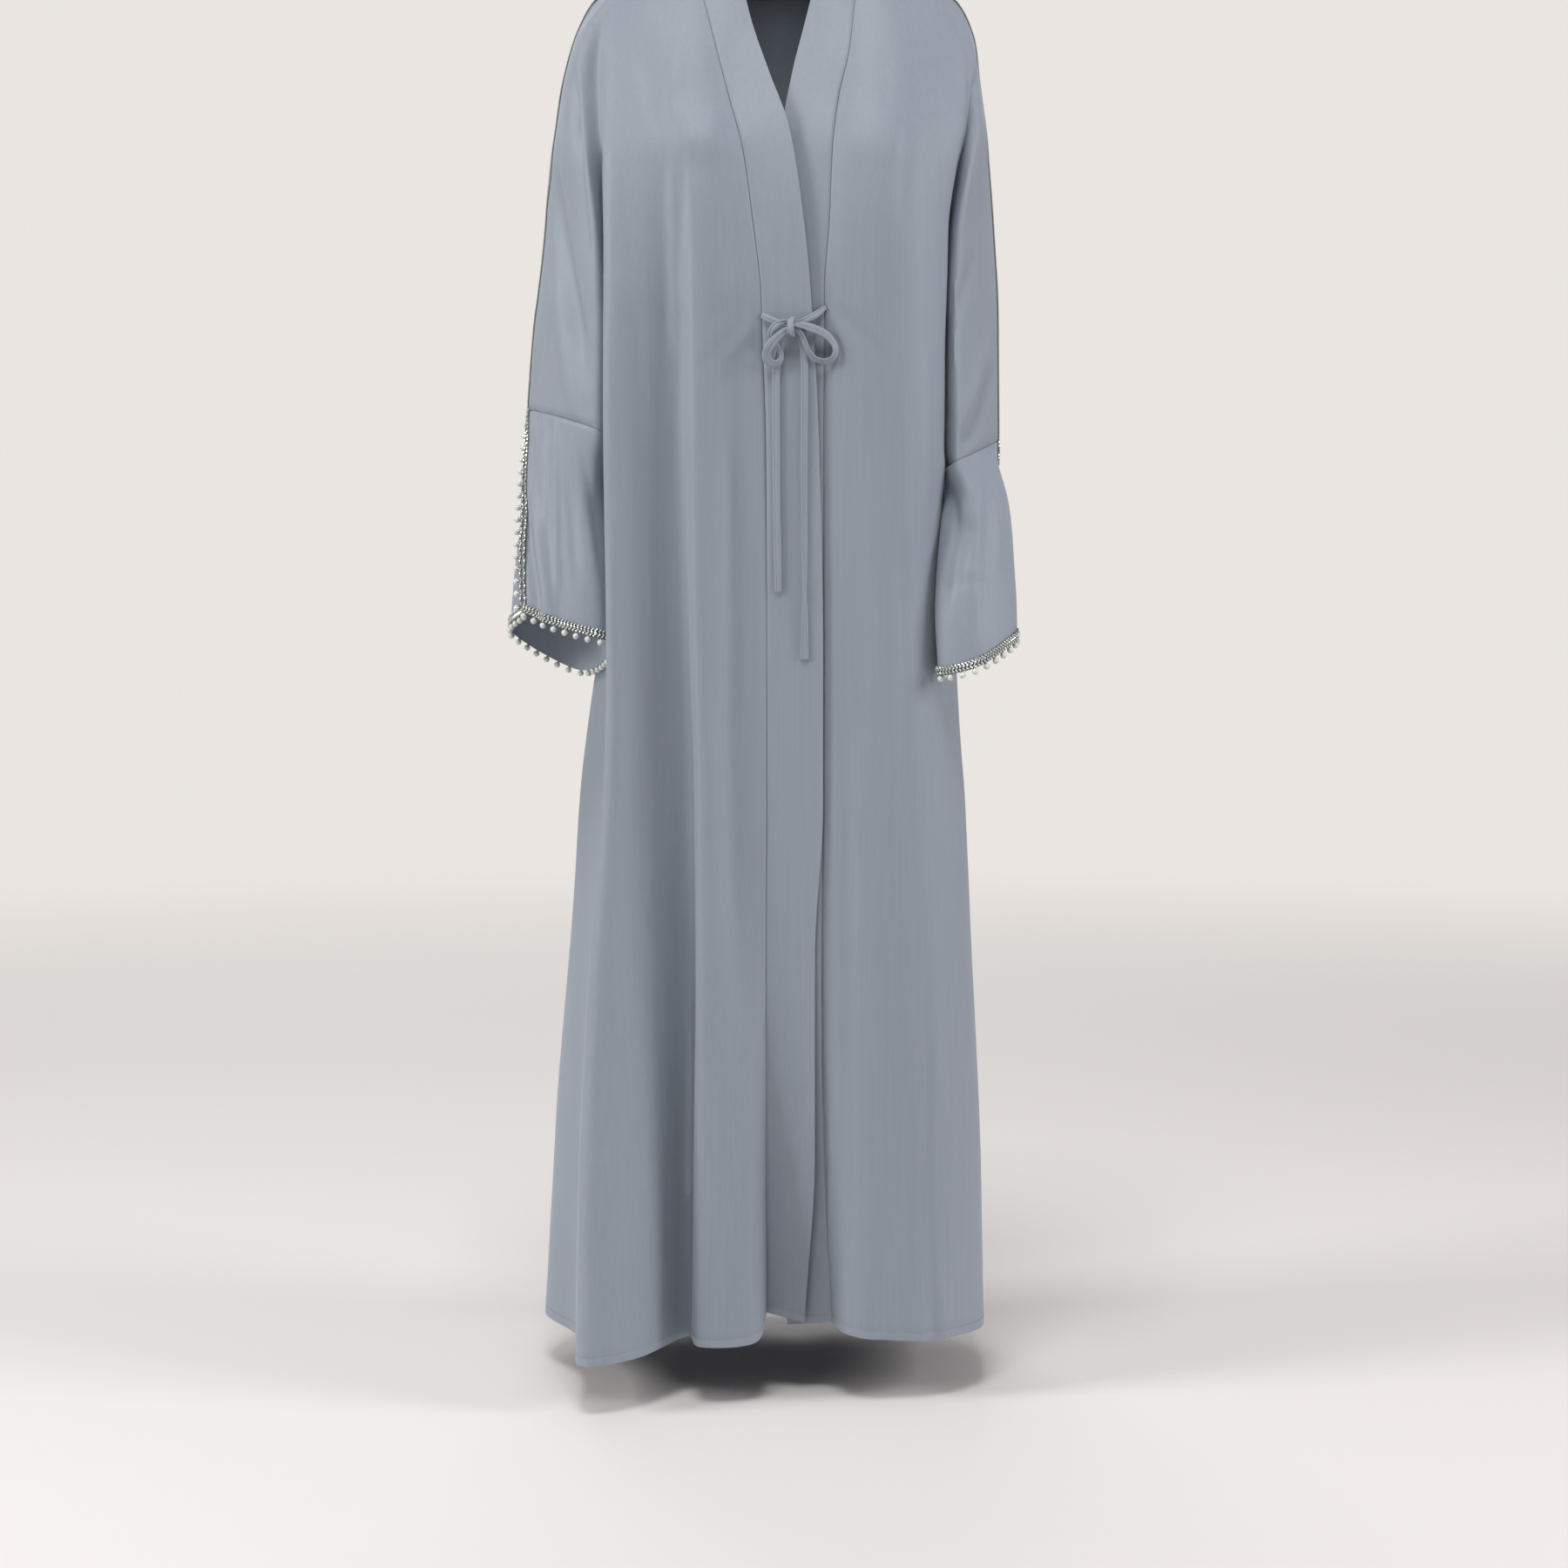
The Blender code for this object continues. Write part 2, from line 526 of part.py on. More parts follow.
    def make_sleeve_rows(self):
        """Rings of the upper sleeve below the underarm, down to the slanting elbow seam."""
        self.front_sleeve = [self.front[-1][BODY_SPANS:]]
        self.back_sleeve = [self.back[-1][NECK_SPANS + BODY_SPANS :]]
        arm = table_rows(ARM[self.side], SLEEVE_LEVELS)
        inner, front, over, back = ELBOW_LEVEL[self.side]
        for pairs, level in zip(arm, SLEEVE_LEVELS):
            share = (level - UNDERARM) / (ELBOW - UNDERARM)
            heights = [UNDERARM + share * (z - UNDERARM) for z in (inner, front, over, back, inner)]
            ring = [mirror_out(self.side, pair, z) for pair, z in zip(pairs, heights)]
            line = Section(ring, closed=True)
            start, front_mark, over_mark, back_mark, end = range(len(ring))
            over_id = self.cloth.point(line.at(line.marks[over_mark]))
            front_ids = self.add(self.arm_points(line, start, front_mark, over_mark)) + [over_id]
            back_ids = self.add(self.arm_points(line, end, back_mark, over_mark)) + [over_id]
            back_ids[0] = front_ids[0]
            self.front_sleeve.append(front_ids)
            self.back_sleeve.append(back_ids)

    def make_lower_sleeve(self):
        """The flared lower sleeve, from the front edge of its slit round to the back edge."""
        top = self.front_sleeve[-1][:-1][::-1] + self.back_sleeve[-1][1:-1]
        top_points = [self.cloth.points[k] / MM for k in top]
        outer = 2
        front = 1 + ARM_TO_TRIM_SPANS
        inner = front + CREASE_TO_ARM_SPANS
        columns = (0, outer, front, inner, 2 * inner - front, 2 * inner - outer, 2 * inner)
        controls = [[top_points[k] for k in columns]]
        for row in LOWER_SLEEVE[self.side]:
            controls.append([mirror_out(self.side, (out, back), level) for out, back, level in row])
        falls = [Section([row[k] for row in controls]) for k in range(len(columns))]
        self.lower_rows = [top]
        for ring in zip(*[self.down_fall(fall) for fall in falls]):
            line = Section(ring)
            end = line.marks[-1]
            front_edge = np.linspace(CUFF_BRAID_WIDTH, line.marks[2], ARM_TO_TRIM_SPANS + 1)
            back_edge = np.linspace(line.marks[4], end - CUFF_BRAID_WIDTH, ARM_TO_TRIM_SPANS + 1)[1:]
            points = [line.at(0)] + [line.at(d) for d in front_edge]
            points += line.per_span(2, 4, CREASE_TO_ARM_SPANS)[1:]
            points += [line.at(d) for d in back_edge] + [line.at(end)]
            self.lower_rows.append(self.add(points))

    def down_fall(self, fall):
        """Places down one column of the lower sleeve; the last but one is a braid's width above the cuff."""
        length = fall.marks[-1]
        even = [length * k / LOWER_SLEEVE_ROWS for k in range(1, LOWER_SLEEVE_ROWS)]
        return [fall.at(d) for d in even + [length - CUFF_BRAID_WIDTH, length]]

    def make_band(self):
        """The band from the hem up the front seam and round the neck to the centre back."""
        table = BAND_EDGE[self.side]
        levels = np.array((0, TRIM_LEVEL) + UPPER_LEVELS[1:] + BODY_LEVELS, float)
        edges = down_the_table([row[0] for row in table], [row[1] for row in table], levels)
        seam = [row[0] for row in self.front] + [row[0] for row in self.body_front[1:]]
        rows = []
        for seam_id, (out, back, level) in list(zip(seam, edges))[::-1]:
            rows.append(self.band_row(seam_id, (OUTWARD[self.side] * out, back, -level)))
        neck = Section([(OUTWARD[self.side] * out, back, -level) for out, back, level in BAND_BACK_EDGE[::-1]])
        neck_places = neck.between(0, len(BAND_BACK_EDGE) - 1, NECK_SPANS)
        for k in range(1, NECK_SPANS):
            rows.append(self.band_row(self.back[0][NECK_SPANS - k], neck_places[k]))
        rows.append(self.centre_line[-1])
        self.band_rows = rows

    def band_row(self, seam_id, edge):
        start = self.cloth.points[seam_id] / MM
        shares = [k / BAND_SPANS for k in range(1, BAND_SPANS + 1)]
        return [seam_id] + self.add([start + share * (np.asarray(edge) - start) for share in shares])


def make_centre_line(cloth):
    """Points down the centre back, and across the band at the centre back, that both halves share."""
    levels = np.array(UPPER_LEVELS + BODY_LEVELS, float)
    pairs = table_rows(BACK, levels)[:, 0]
    ids = []
    for level, (out, back) in zip(levels, pairs):
        if level <= UNDERARM:
            height = level + (1 - level / UNDERARM) * NECK_DROP[0]
        else:
            height = UNDERARM + (level - UNDERARM) / (HEM - UNDERARM) * (BACK_HEM_LEVEL - UNDERARM)
        ids.append(cloth.point(fluted("back", (out, back, -height))))
    start = cloth.points[ids[0]]
    ids.insert(1, cloth.point((start + trim_step(cloth.points[ids[1]] - start)) / MM))
    start = start / MM
    out, back, level = BAND_BACK_EDGE[0]
    edge = np.array((out, back, -level))
    shares = [k / BAND_SPANS for k in range(1, BAND_SPANS + 1)]
    ids.append([ids[0]] + [cloth.point(start + share * (edge - start)) for share in shares])
    return ids


def cut_panels(cloth, sides):
    """List the quads of every panel and of the braids that lie on them."""
    for name, half in sides.items():
        front_way = name == LEFT
        body = [row[: BODY_SPANS + 1] for row in half.front] + half.body_front[1:]
        arm = [row[BODY_SPANS:] for row in half.front] + half.front_sleeve[1:]
        cloth.grid(name + "_front", body, flip=front_way)
        cloth.grid(name + "_front", arm, flip=front_way)
        body = [row[: NECK_SPANS + BODY_SPANS + 1] for row in half.back] + half.body_back[1:]
        arm = [row[NECK_SPANS + BODY_SPANS :] for row in half.back] + half.back_sleeve[1:]
        cloth.grid("back", body, flip=not front_way)
        cloth.grid("back", arm, flip=not front_way)
        cloth.grid(name + "_lower_sleeve", half.lower_rows, flip=not front_way)
        cloth.grid(name + "_band", half.band_rows, flip=front_way)


def braid_quads(half, front_way):
    """Quads beside the shoulder and overarm seam, and round the slit and the cuff."""
    over = Cloth()
    over.grid("over", half.front[:2], flip=front_way)
    over.grid("over", [row[NECK_SPANS:] for row in half.back[:2]], flip=not front_way)
    front_arm = [row[-2:] for row in half.front[1:] + half.front_sleeve[1:]]
    back_arm = [row[-2:] for row in half.back[1:] + half.back_sleeve[1:]]
    over.grid("over", front_arm, flip=front_way)
    over.grid("over", back_arm, flip=not front_way)
    rows = half.lower_rows
    over.grid("cuff", [row[:2] for row in rows[:-1]], flip=not front_way)
    over.grid("cuff", [row[-2:] for row in rows[:-1]], flip=not front_way)
    over.grid("cuff", rows[-2:], flip=not front_way)
    return over.quads["over"], over.quads["cuff"]


def halves(points, quad, ring):
    """The two triangles of a quad, split along its shorter diagonal."""
    p = points[list(quad)]
    if np.linalg.norm(p[2] - p[0]) <= np.linalg.norm(p[3] - p[1]):
        return [ring[0], ring[1], ring[2]], [ring[0], ring[2], ring[3]]
    return [ring[1], ring[2], ring[3]], [ring[1], ring[3], ring[0]]


def edge_shifts(points, quads):
    """How each point of a cut edge is drawn in, so that neighbours stay a seam gap apart."""
    owners = {}
    for quad in quads:
        for k in range(4):
            owners.setdefault(frozenset((quad[k], quad[(k + 1) % 4])), []).append((quad, k))
    inward = {}
    for users in owners.values():
        if len(users) > 1:
            continue
        quad, k = users[0]
        p = points[list(quad)]
        normal = unit(np.cross(p[2] - p[0], p[3] - p[1]))
        way = unit(np.cross(normal, p[(k + 1) % 4] - p[k]))
        for corner in (quad[k], quad[(k + 1) % 4]):
            inward.setdefault(corner, []).append(way)
    shifts = {}
    for corner, ways in inward.items():
        total = sum(ways)
        open_share = 1 + float(ways[0] @ ways[1]) if len(ways) == 2 else 2
        size = min(1 / max(open_share, 0.2), 2.0)
        shifts[corner] = total * size * SEAM_GAP / 2 * MM
    return shifts


def panel_solid(cloth, name, quads, inner, outer, colour, roughness, metallic=0.0):
    """Give quads of the middle surface a wall from inner to outer along the shared normals."""
    used = sorted({corner for quad in quads for corner in quad})
    place = {corner: k for k, corner in enumerate(used)}
    shifts = edge_shifts(cloth.points, quads)
    base = np.array([cloth.points[k] + shifts.get(k, 0.0) for k in used])
    normals = cloth.normals[used]
    count = len(used)
    verts = np.vstack([base + normals * outer * MM, base + normals * inner * MM])
    faces, edges = [], {}
    for quad in quads:
        ring = [place[corner] for corner in quad]
        for face in halves(cloth.points, quad, ring):
            faces.append(face)
            faces.append([k + count for k in face[::-1]])
        for k in range(4):
            a, b = ring[k], ring[(k + 1) % 4]
            if edges.pop((b, a), None) is None:
                edges[(a, b)] = True
    for a, b in edges:
        wall = [b, a, a + count, b + count]
        low = 0 if used[b] < used[a] else 1
        faces.append([wall[low], wall[low + 1], wall[low + 2]])
        faces.append([wall[low], wall[low + 2], wall[(low + 3) % 4]])
    mesh = bpy.data.meshes.new(name)
    mesh.from_pydata([tuple(map(float, v)) for v in verts], [], faces)
    mesh.validate()
    mesh.shade_smooth()
    mesh.set_sharp_from_angle(angle=math.radians(50))
    return link(name, mesh, colour, roughness, metallic)


def link(name, data, colour, roughness, metallic=0.0):
    thing = bpy.data.objects.new(name, data)
    bpy.context.scene.collection.objects.link(thing)
    material = bpy.data.materials.new(name)
    material.use_nodes = True
    shader = material.node_tree.nodes["Principled BSDF"]
    shader.inputs["Base Color"].default_value = colour
    shader.inputs["Roughness"].default_value = roughness
    shader.inputs["Metallic"].default_value = metallic
    data.materials.append(material)
    return thing


def make_tie(side):
    """A rolled cloth tie: one round tube along its smooth route."""
    line = Section([(across, back, -level) for across, back, level in TIE_ROUTE[side]])
    last = len(line.marks) - 1
    bow = line.marks[TIE_TAIL_START]
    places = line.between(0, TIE_TAIL_START, int(bow / BOW_POINT_SPACING))
    places += line.between(TIE_TAIL_START, last, int((line.marks[last] - bow) / TAIL_POINT_SPACING))[1:]
    curve = bpy.data.curves.new(side + "_tie", "CURVE")
    curve.dimensions = "3D"
    curve.bevel_depth = TIE_DIAMETER / 2 * MM
    curve.bevel_resolution = 2
    curve.use_fill_caps = True
    spline = curve.splines.new("POLY")
    spline.points.add(len(places) - 1)
    for point, place in zip(spline.points, places):
        point.co = (*(place * MM), 1.0)
    link(side + "_tie", curve, CLOTH_COLOUR, 0.6)


def make_knot():
    """The wrap of the knot, a small pad in front of the four strands that it gathers."""
    mesh = bpy.data.meshes.new("bow_knot")
    thing = link("bow_knot", mesh, CLOTH_COLOUR, 0.6)
    across, deep, tall = (size / 2 * MM for size in KNOT_SIZE)
    corners = [(x, y, z) for x in (-across, across) for y in (-deep, deep) for z in (-tall, tall)]
    faces = [(0, 1, 3, 2), (4, 6, 7, 5), (0, 4, 5, 1), (2, 3, 7, 6), (0, 2, 6, 4), (1, 5, 7, 3)]
    mesh.from_pydata(corners, [], faces)
    mesh.shade_smooth()
    thing.location = (KNOT_PLACE[0] * MM, KNOT_PLACE[1] * MM, -KNOT_PLACE[2] * MM)
    rounding = thing.modifiers.new("rounding", "BEVEL")
    rounding.width = 1.6 * MM
    rounding.segments = 2
    rounding.limit_method = "NONE"


def main():
    clear_scene()
    cloth = Cloth()
    centre_line = make_centre_line(cloth)
    sides = {name: Side(cloth, name, centre_line) for name in (RIGHT, LEFT)}
    cut_panels(cloth, sides)
    cloth.finish()
    for name, quads in cloth.quads.items():
        panel_solid(cloth, name, quads, -WALL / 2, WALL / 2, CLOTH_COLOUR, 0.6)
    for name, half in sides.items():
        foot = WALL / 2 + SEAM_GAP
        over, cuff = braid_quads(half, name == LEFT)
        panel_solid(cloth, name + "_overarm_braid", over, foot, foot + BRAID_THICK, BRAID_COLOUR, 0.3, 0.8)
        panel_solid(cloth, name + "_cuff_braid", cuff, foot, foot + BRAID_THICK, BRAID_COLOUR, 0.3, 0.8)
    for name in (RIGHT, LEFT):
        make_tie(name)
    make_knot()


main()
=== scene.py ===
"""Looks of the abaya cloak: cloth shells with their creases, stone braids with pearls, ties and sewing.

Tables are in millimetres, as in the part's source. A pair is (out, back): the distance out from the
middle and the distance behind the shoulder line. A level is the distance below the shoulder point.
"""

import math

import bpy
import numpy as np
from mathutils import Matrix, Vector, noise


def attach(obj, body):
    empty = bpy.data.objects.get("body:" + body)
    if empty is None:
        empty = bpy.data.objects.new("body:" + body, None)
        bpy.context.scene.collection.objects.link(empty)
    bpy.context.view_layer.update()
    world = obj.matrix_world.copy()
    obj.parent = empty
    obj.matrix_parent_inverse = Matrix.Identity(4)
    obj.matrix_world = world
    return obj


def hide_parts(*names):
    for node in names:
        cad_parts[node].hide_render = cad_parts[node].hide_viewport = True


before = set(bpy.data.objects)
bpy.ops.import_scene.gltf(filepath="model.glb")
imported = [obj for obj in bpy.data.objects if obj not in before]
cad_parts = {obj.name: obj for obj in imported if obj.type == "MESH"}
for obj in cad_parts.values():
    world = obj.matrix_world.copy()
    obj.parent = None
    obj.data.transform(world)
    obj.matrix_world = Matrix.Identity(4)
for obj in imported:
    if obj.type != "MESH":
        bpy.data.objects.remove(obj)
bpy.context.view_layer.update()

MM = 0.001
RIGHT, LEFT = "right", "left"
OUTWARD = {RIGHT: -1.0, LEFT: 1.0}
FRONT_FACE, BACK_FACE = -1, 1

# Driving sizes that the part's source gives.
OVERARM_BRAID_HALF_WIDTH = 2.2
CUFF_BRAID_WIDTH = 9.0
NECK_OUT = 88.0
SHOULDER_TIP = 181.0
SHOULDER_DROP = 45.0
SHOULDER_SLOPE = (0.75, 0.25)
NECK_DROP = (18, 12, 0)
UNDERARM = 340.0
ELBOW = 460.0
HEM = 1400.0
BACK_HEM_LEVEL = 1408

# The shell: where its outer and inner faces lie from the middle of the part's wall.
SHELL_OUTER = 0.9
SHELL_INNER = 0.0

# Seams and hem: width of the hem, way from a seam to the next column, depth of a pressed seam.
HEM_WIDTH = 9.0
SEAM_STEP = 1.2
SEAM_SINK = 1.0
# The hem's stitches lie on these rows, of the panels and of the bands, between puffed rows.
STITCH_ROW = -4
BAND_STITCH_ROW = 3
STITCH_SINK = 0.35
HEM_PUFF = 0.15
# Slack of the cloth: height, length of a wave across and down, and where the waves start.
SLACK = ((1.1, 46, 190, 0), (0.25, 15, 70, 7))

# Fineness of the cloth. Places are one point where they round to the same part of a millimetre.
POINTS_PER_MM = 500
ROW_STEP = 8.0
FRONT_SPANS = 10
CREASE_TO_ARM_SPANS = 22
ARM_TO_TRIM_SPANS = 27
TRIM_SPANS = 3
NECK_SPANS = 16
BAND_SPANS = 12
LOWER_SLEEVE_ROWS = 34

# Control points of a whole row, by number, and columns that every row has.
CREASE, ARM_FRONT, OVERARM, ARM_BACK, BACK_CREASE = 7, 8, 9, 10, 11
BACK_SHOULDER = 2
BODY_COLUMNS = CREASE * FRONT_SPANS + 2
NARROW_MARK = CREASE_TO_ARM_SPANS + 1 + ARM_TO_TRIM_SPANS + TRIM_SPANS

# How far below the underarm or the elbow seam a panel still follows the one above it.
UNDERARM_EASE = 25.0
SLEEVE_EASE = 22.0
LOWER_SLEEVE_EASE = 1 / 6

# Fronts. Columns: level, band seam, crest, ridge, valley, cone, edge, tuck, crease (side seam below
# the underarm). The right front falls in a ridge and a deep cone that grow towards the hem.
FRONT = {RIGHT: (
    (0, (88, 0), (96, 0), (104, 0), (112, 0), (121, 0), (130, 0), (139, 0), (148, 0)),
    (5, (86, -17), (95, -18), (104, -18), (113, -18), (122, -17), (132, -16), (141, -16), (150, -15)),
    (20, (81, -33), (91, -35), (101, -35), (113, -34), (125, -32), (140, -28), (149, -26), (158, -25)),
    (50, (71, -54), (84, -57), (97, -58), (113, -57), (134, -53), (156, -44), (165, -41), (173, -38)),
    (100, (58, -80), (74, -85), (89, -87), (108, -86), (134, -80), (164, -66), (171, -59), (177, -52)),
    (150, (45, -100), (65, -107), (84, -110), (106, -108), (134, -103), (167, -87), (171, -74), (175, -64)),
    (200, (32, -122), (57, -130), (80, -133), (101, -127), (134, -121), (168, -108), (168, -88), (173, -72)),
    (270, (22, -131), (50, -138), (80, -142), (98, -131), (134, -129), (167, -121), (164, -86), (169, -62)),
    (340, (14, -134), (46, -140), (80, -144), (96, -129), (134, -132), (166, -128), (156, -48), (164, 0)),
    (370, (13, -134), (45, -138), (80, -144), (94, -127), (132, -130), (166, -130), (153, -47), (150, 9)),
    (500, (9, -136), (41, -135), (80, -147), (92, -124), (130, -128), (165, -137), (153, -48), (151, 35)),
    (700, (8, -138), (38, -136), (77, -152), (89, -121), (129, -130), (164, -144), (154, -52), (184, 86)),
    (850, (8, -139), (36, -139), (73, -156), (84, -120), (129, -134), (168, -151), (166, -52), (204, 82)),
    (1000, (9, -138), (33, -143), (73, -161), (84, -118), (130, -142), (178, -165), (183, -54), (214, 74)),
    (1200, (10, -128), (24, -152), (74, -166), (86, -115), (134, -161), (187, -190), (196, -58), (231, 60)),
    (1400, (9, -106), (20, -158), (74, -169), (88, -116), (140, -189), (190, -213), (204, -58), (242, 36)),
), LEFT: (
    (0, (88, 0), (96, 0), (104, 0), (112, 0), (121, 0), (130, 0), (139, 0), (148, 0)),
    (5, (88, -17), (96, -18), (105, -18), (114, -18), (123, -17), (133, -16), (142, -16), (151, -15)),
    (20, (85, -33), (95, -35), (105, -35), (117, -34), (130, -32), (146, -28), (156, -25), (165, -23)),
    (50, (80, -54), (92, -57), (106, -58), (123, -55), (144, -48), (169, -37), (178, -32), (186, -28)),
    (100, (74, -80), (88, -85), (105, -86), (126, -82), (151, -71), (189, -50), (193, -45), (197, -41)),
    (150, (63, -101), (82, -108), (102, -110), (125, -106), (152, -94), (189, -67), (190, -59), (193, -53)),
    (200, (57, -122), (78, -130), (101, -132), (125, -126), (151, -112), (181, -84), (180, -73), (184, -64)),
    (270, (54, -131), (76, -138), (101, -140), (126, -133), (151, -117), (172, -90), (166, -75), (172, -60)),
    (340, (49, -134), (75, -140), (102, -141), (127, -134), (151, -118), (171, -89), (156, -46), (164, 0)),
    (370, (49, -134), (75, -140), (102, -141), (127, -134), (151, -118), (170, -89), (153, -45), (152, 9)),
    (500, (48, -136), (75, -141), (103, -142), (128, -136), (150, -121), (168, -92), (157, -45), (160, 30)),
    (610, (48, -137), (76, -142), (104, -143), (128, -136), (149, -120), (163, -95), (158, -40), (176, 38)),
    (700, (48, -137), (76, -143), (105, -145), (130, -138), (151, -121), (164, -95), (166, -36), (186, 45)),
    (850, (48, -137), (76, -144), (106, -147), (134, -141), (162, -124), (187, -90), (193, -30), (194, 58)),
    (1000, (47, -137), (77, -146), (108, -150), (138, -144), (168, -126), (194, -90), (201, -24), (200, 60)),
    (1200, (49, -131), (76, -148), (110, -152), (142, -146), (174, -127), (203, -87), (211, -16), (208, 62)),
    (1400, (58, -116), (72, -150), (108, -157), (143, -148), (178, -129), (208, -85), (216, -12), (213, 60)),
)}

# Arms. Columns: level, crease in front (inner seam below the underarm), front of the arm, overarm
# seam, back of the arm, crease behind.
ARM = {RIGHT: (
    (0, (148, 0), (160, 0), (181, 0), (160, 0), (148, 0)),
    (5, (150, -15), (163, -14), (185, 1), (164, 17), (151, 18)),
    (20, (158, -25), (173, -24), (193, 2), (174, 30), (159, 32)),
    (50, (173, -38), (189, -37), (204, 3), (190, 43), (174, 44)),
    (100, (177, -52), (196, -53), (215, 4), (201, 53), (180, 50)),
    (150, (175, -64), (196, -66), (222, 5), (206, 58), (178, 54)),
    (200, (173, -72), (188, -84), (229, 6), (210, 60), (174, 54)),
    (270, (169, -62), (179, -92), (234, 7), (211, 64), (168, 44)),
    (340, (164, 0), (175, -96), (241, 8), (212, 66), (164, 0)),
    (370, (174, -6), (174, -96), (245, 8), (213, 65), (174, -6)),
    (460, (172, -8), (176, -92), (252, 7), (216, 60), (172, -8)),
), LEFT: (
    (0, (148, 0), (160, 0), (181, 0), (160, 0), (148, 0)),
    (5, (151, -15), (163, -14), (185, 2), (164, 17), (151, 18)),
    (20, (165, -23), (175, -21), (193, 5), (174, 30), (159, 32)),
    (50, (186, -28), (193, -24), (202, 10), (190, 43), (174, 44)),
    (100, (197, -41), (203, -34), (207, 14), (198, 52), (180, 50)),
    (150, (193, -53), (203, -52), (212, 17), (202, 57), (178, 54)),
    (200, (184, -64), (195, -73), (217, 18), (204, 59), (174, 54)),
    (270, (172, -60), (183, -87), (222, 19), (206, 60), (168, 42)),
    (340, (164, 0), (179, -93), (226, 19), (206, 56), (164, 0)),
    (370, (174, -6), (179, -94), (227, 18), (206, 53), (174, -6)),
    (460, (173, -26), (181, -99), (228, 12), (208, 42), (173, -26)),
)}

# Heights of the elbow seam at the inner seam, the front of the arm, the overarm and the back of it.
ELBOW_LEVEL = {RIGHT: (500, 477, 458, 482), LEFT: (517, 508, 489, 500)}

# Lower sleeves, from the elbow seam to the cuff. Each column is (out, back, level): front edge of
# the slit, outer front, front, inner side, back, outer back, back edge of the slit.
LOWER_SLEEVE = {RIGHT: (
    ((257, -20, 528), (238, -44, 536), (186, -74, 548), (170, -42, 560), (212, 50, 552), (256, 28, 541),
     (252, 2, 531)),
    ((260, -44, 598), (234, -63, 607), (178, -84, 620), (166, -64, 634), (212, 50, 648), (267, 25, 618),
     (254, -16, 602)),
    ((259, -60, 659), (230, -76, 671), (176, -91, 686), (164, -80, 689), (206, 54, 727), (272, 26, 686),
     (254, -34, 662)),
), LEFT: (
    ((226, -4, 545), (235, -50, 549), (200, -112, 562), (168, -98, 568), (202, -22, 558), (212, -3, 552),
     (221, 13, 547)),
    ((230, -38, 632), (241, -84, 636), (196, -137, 648), (161, -121, 652), (200, -50, 644), (212, -36, 639),
     (224, -24, 634)),
    ((231, -56, 682), (241, -102, 686), (200, -147, 711), (164, -129, 720), (202, -64, 704), (214, -52, 694),
     (226, -43, 685)),
)}
SLEEVE_FRONT, SLEEVE_INNER, SLEEVE_BACK, SLIT_BACK = 2, 3, 4, 6

# Back. Columns: level, centre, half way to the shoulder point, shoulder point, blade, outer.
BACK = (
    (0, (0, 55), (56, 42), (88, 0), (112, 0), (132, 0)),
    (5, (0, 59), (57, 49), (88, 19), (112, 20), (133, 19)),
    (20, (0, 67), (57, 60), (89, 38), (115, 37), (139, 34)),
    (50, (0, 77), (56, 74), (90, 62), (121, 57), (148, 50)),
    (100, (0, 88), (54, 89), (92, 84), (127, 76), (155, 64)),
    (150, (0, 95), (54, 98), (92, 95), (129, 85), (158, 70)),
    (200, (0, 99), (54, 103), (92, 102), (130, 94), (160, 78)),
    (270, (0, 101), (54, 106), (92, 106), (131, 98), (162, 82)),
    (340, (0, 102), (54, 107), (92, 108), (132, 102), (164, 84)),
    (500, (0, 107), (54, 112), (92, 113), (132, 107), (162, 92)),
    (700, (0, 118), (55, 124), (94, 125), (136, 121), (172, 112)),
    (1000, (0, 138), (57, 145), (99, 146), (144, 138), (182, 118)),
    (1200, (0, 150), (60, 158), (104, 160), (150, 150), (196, 122)),
    (1400, (0, 160), (62, 170), (108, 172), (158, 160), (206, 124)),
)

# Hem levels from the band seam to the side seam.
HEM_LEVELS = {
    RIGHT: (1372, 1391, 1393, 1394, 1400, 1402, 1408, 1405),
    LEFT: (1380, 1384, 1388, 1391, 1392, 1394, 1397, 1399),
}

# Bands. Columns: level of the seam, free edge (out, back, level); out is negative past the middle.
BAND_EDGE = {RIGHT: (
    (0, (62, -5, -42)), (5, (59, -12, -38)), (20, (51, -26, -24)), (50, (38, -43, 12)), (100, (23, -63, 72)),
    (150, (6, -89, 122)), (200, (-14, -117, 178)), (270, (-27, -135, 258)), (340, (-35, -139, 334)),
    (500, (-44, -141, 500)), (700, (-48, -142, 700)), (850, (-48, -142, 850)), (1000, (-40, -143, 1000)),
    (1200, (-40, -139, 1200)), (1400, (-30, -116, 1380)),
), LEFT: (
    (0, (62, -5, -42)), (5, (60, -12, -38)), (20, (54, -25, -24)), (50, (45, -41, 12)), (100, (30, -60, 72)),
    (150, (17, -82, 124)), (200, (7, -107, 182)), (270, (2, -124, 260)), (340, (-2, -129, 335)),
    (500, (-4, -130, 500)), (700, (-5, -131, 700)), (850, (-5, -131, 850)), (1000, (-5, -130, 1000)),
    (1200, (-3, -122, 1200)), (1400, (13, -98, 1386)),
)}
BAND_BACK_EDGE = ((0, 32, -30), (40, 24, -34), (62, -5, -42))

# Soft flutes that grow towards the hem: panel, out at the top, out at the hem, half width, depth at
# the hem, level where it starts. Out is signed here: negative is the wearer's right.
FLUTES = (
    ("back", -128, -160, 34, 16, 480),
    ("back", -70, -88, 30, 20, 380),
    ("back", -14, -20, 32, 15, 300),
    ("back", 40, 50, 28, 18, 420),
    ("back", 92, 116, 32, 20, 350),
    ("back", 140, 172, 26, 12, 560),
    ("left_front", 132, 145, 16, 4, 900),
    ("left_front", 150, 172, 14, 4, 800),
    ("left_front", 88, 92, 20, 5, 700),
)
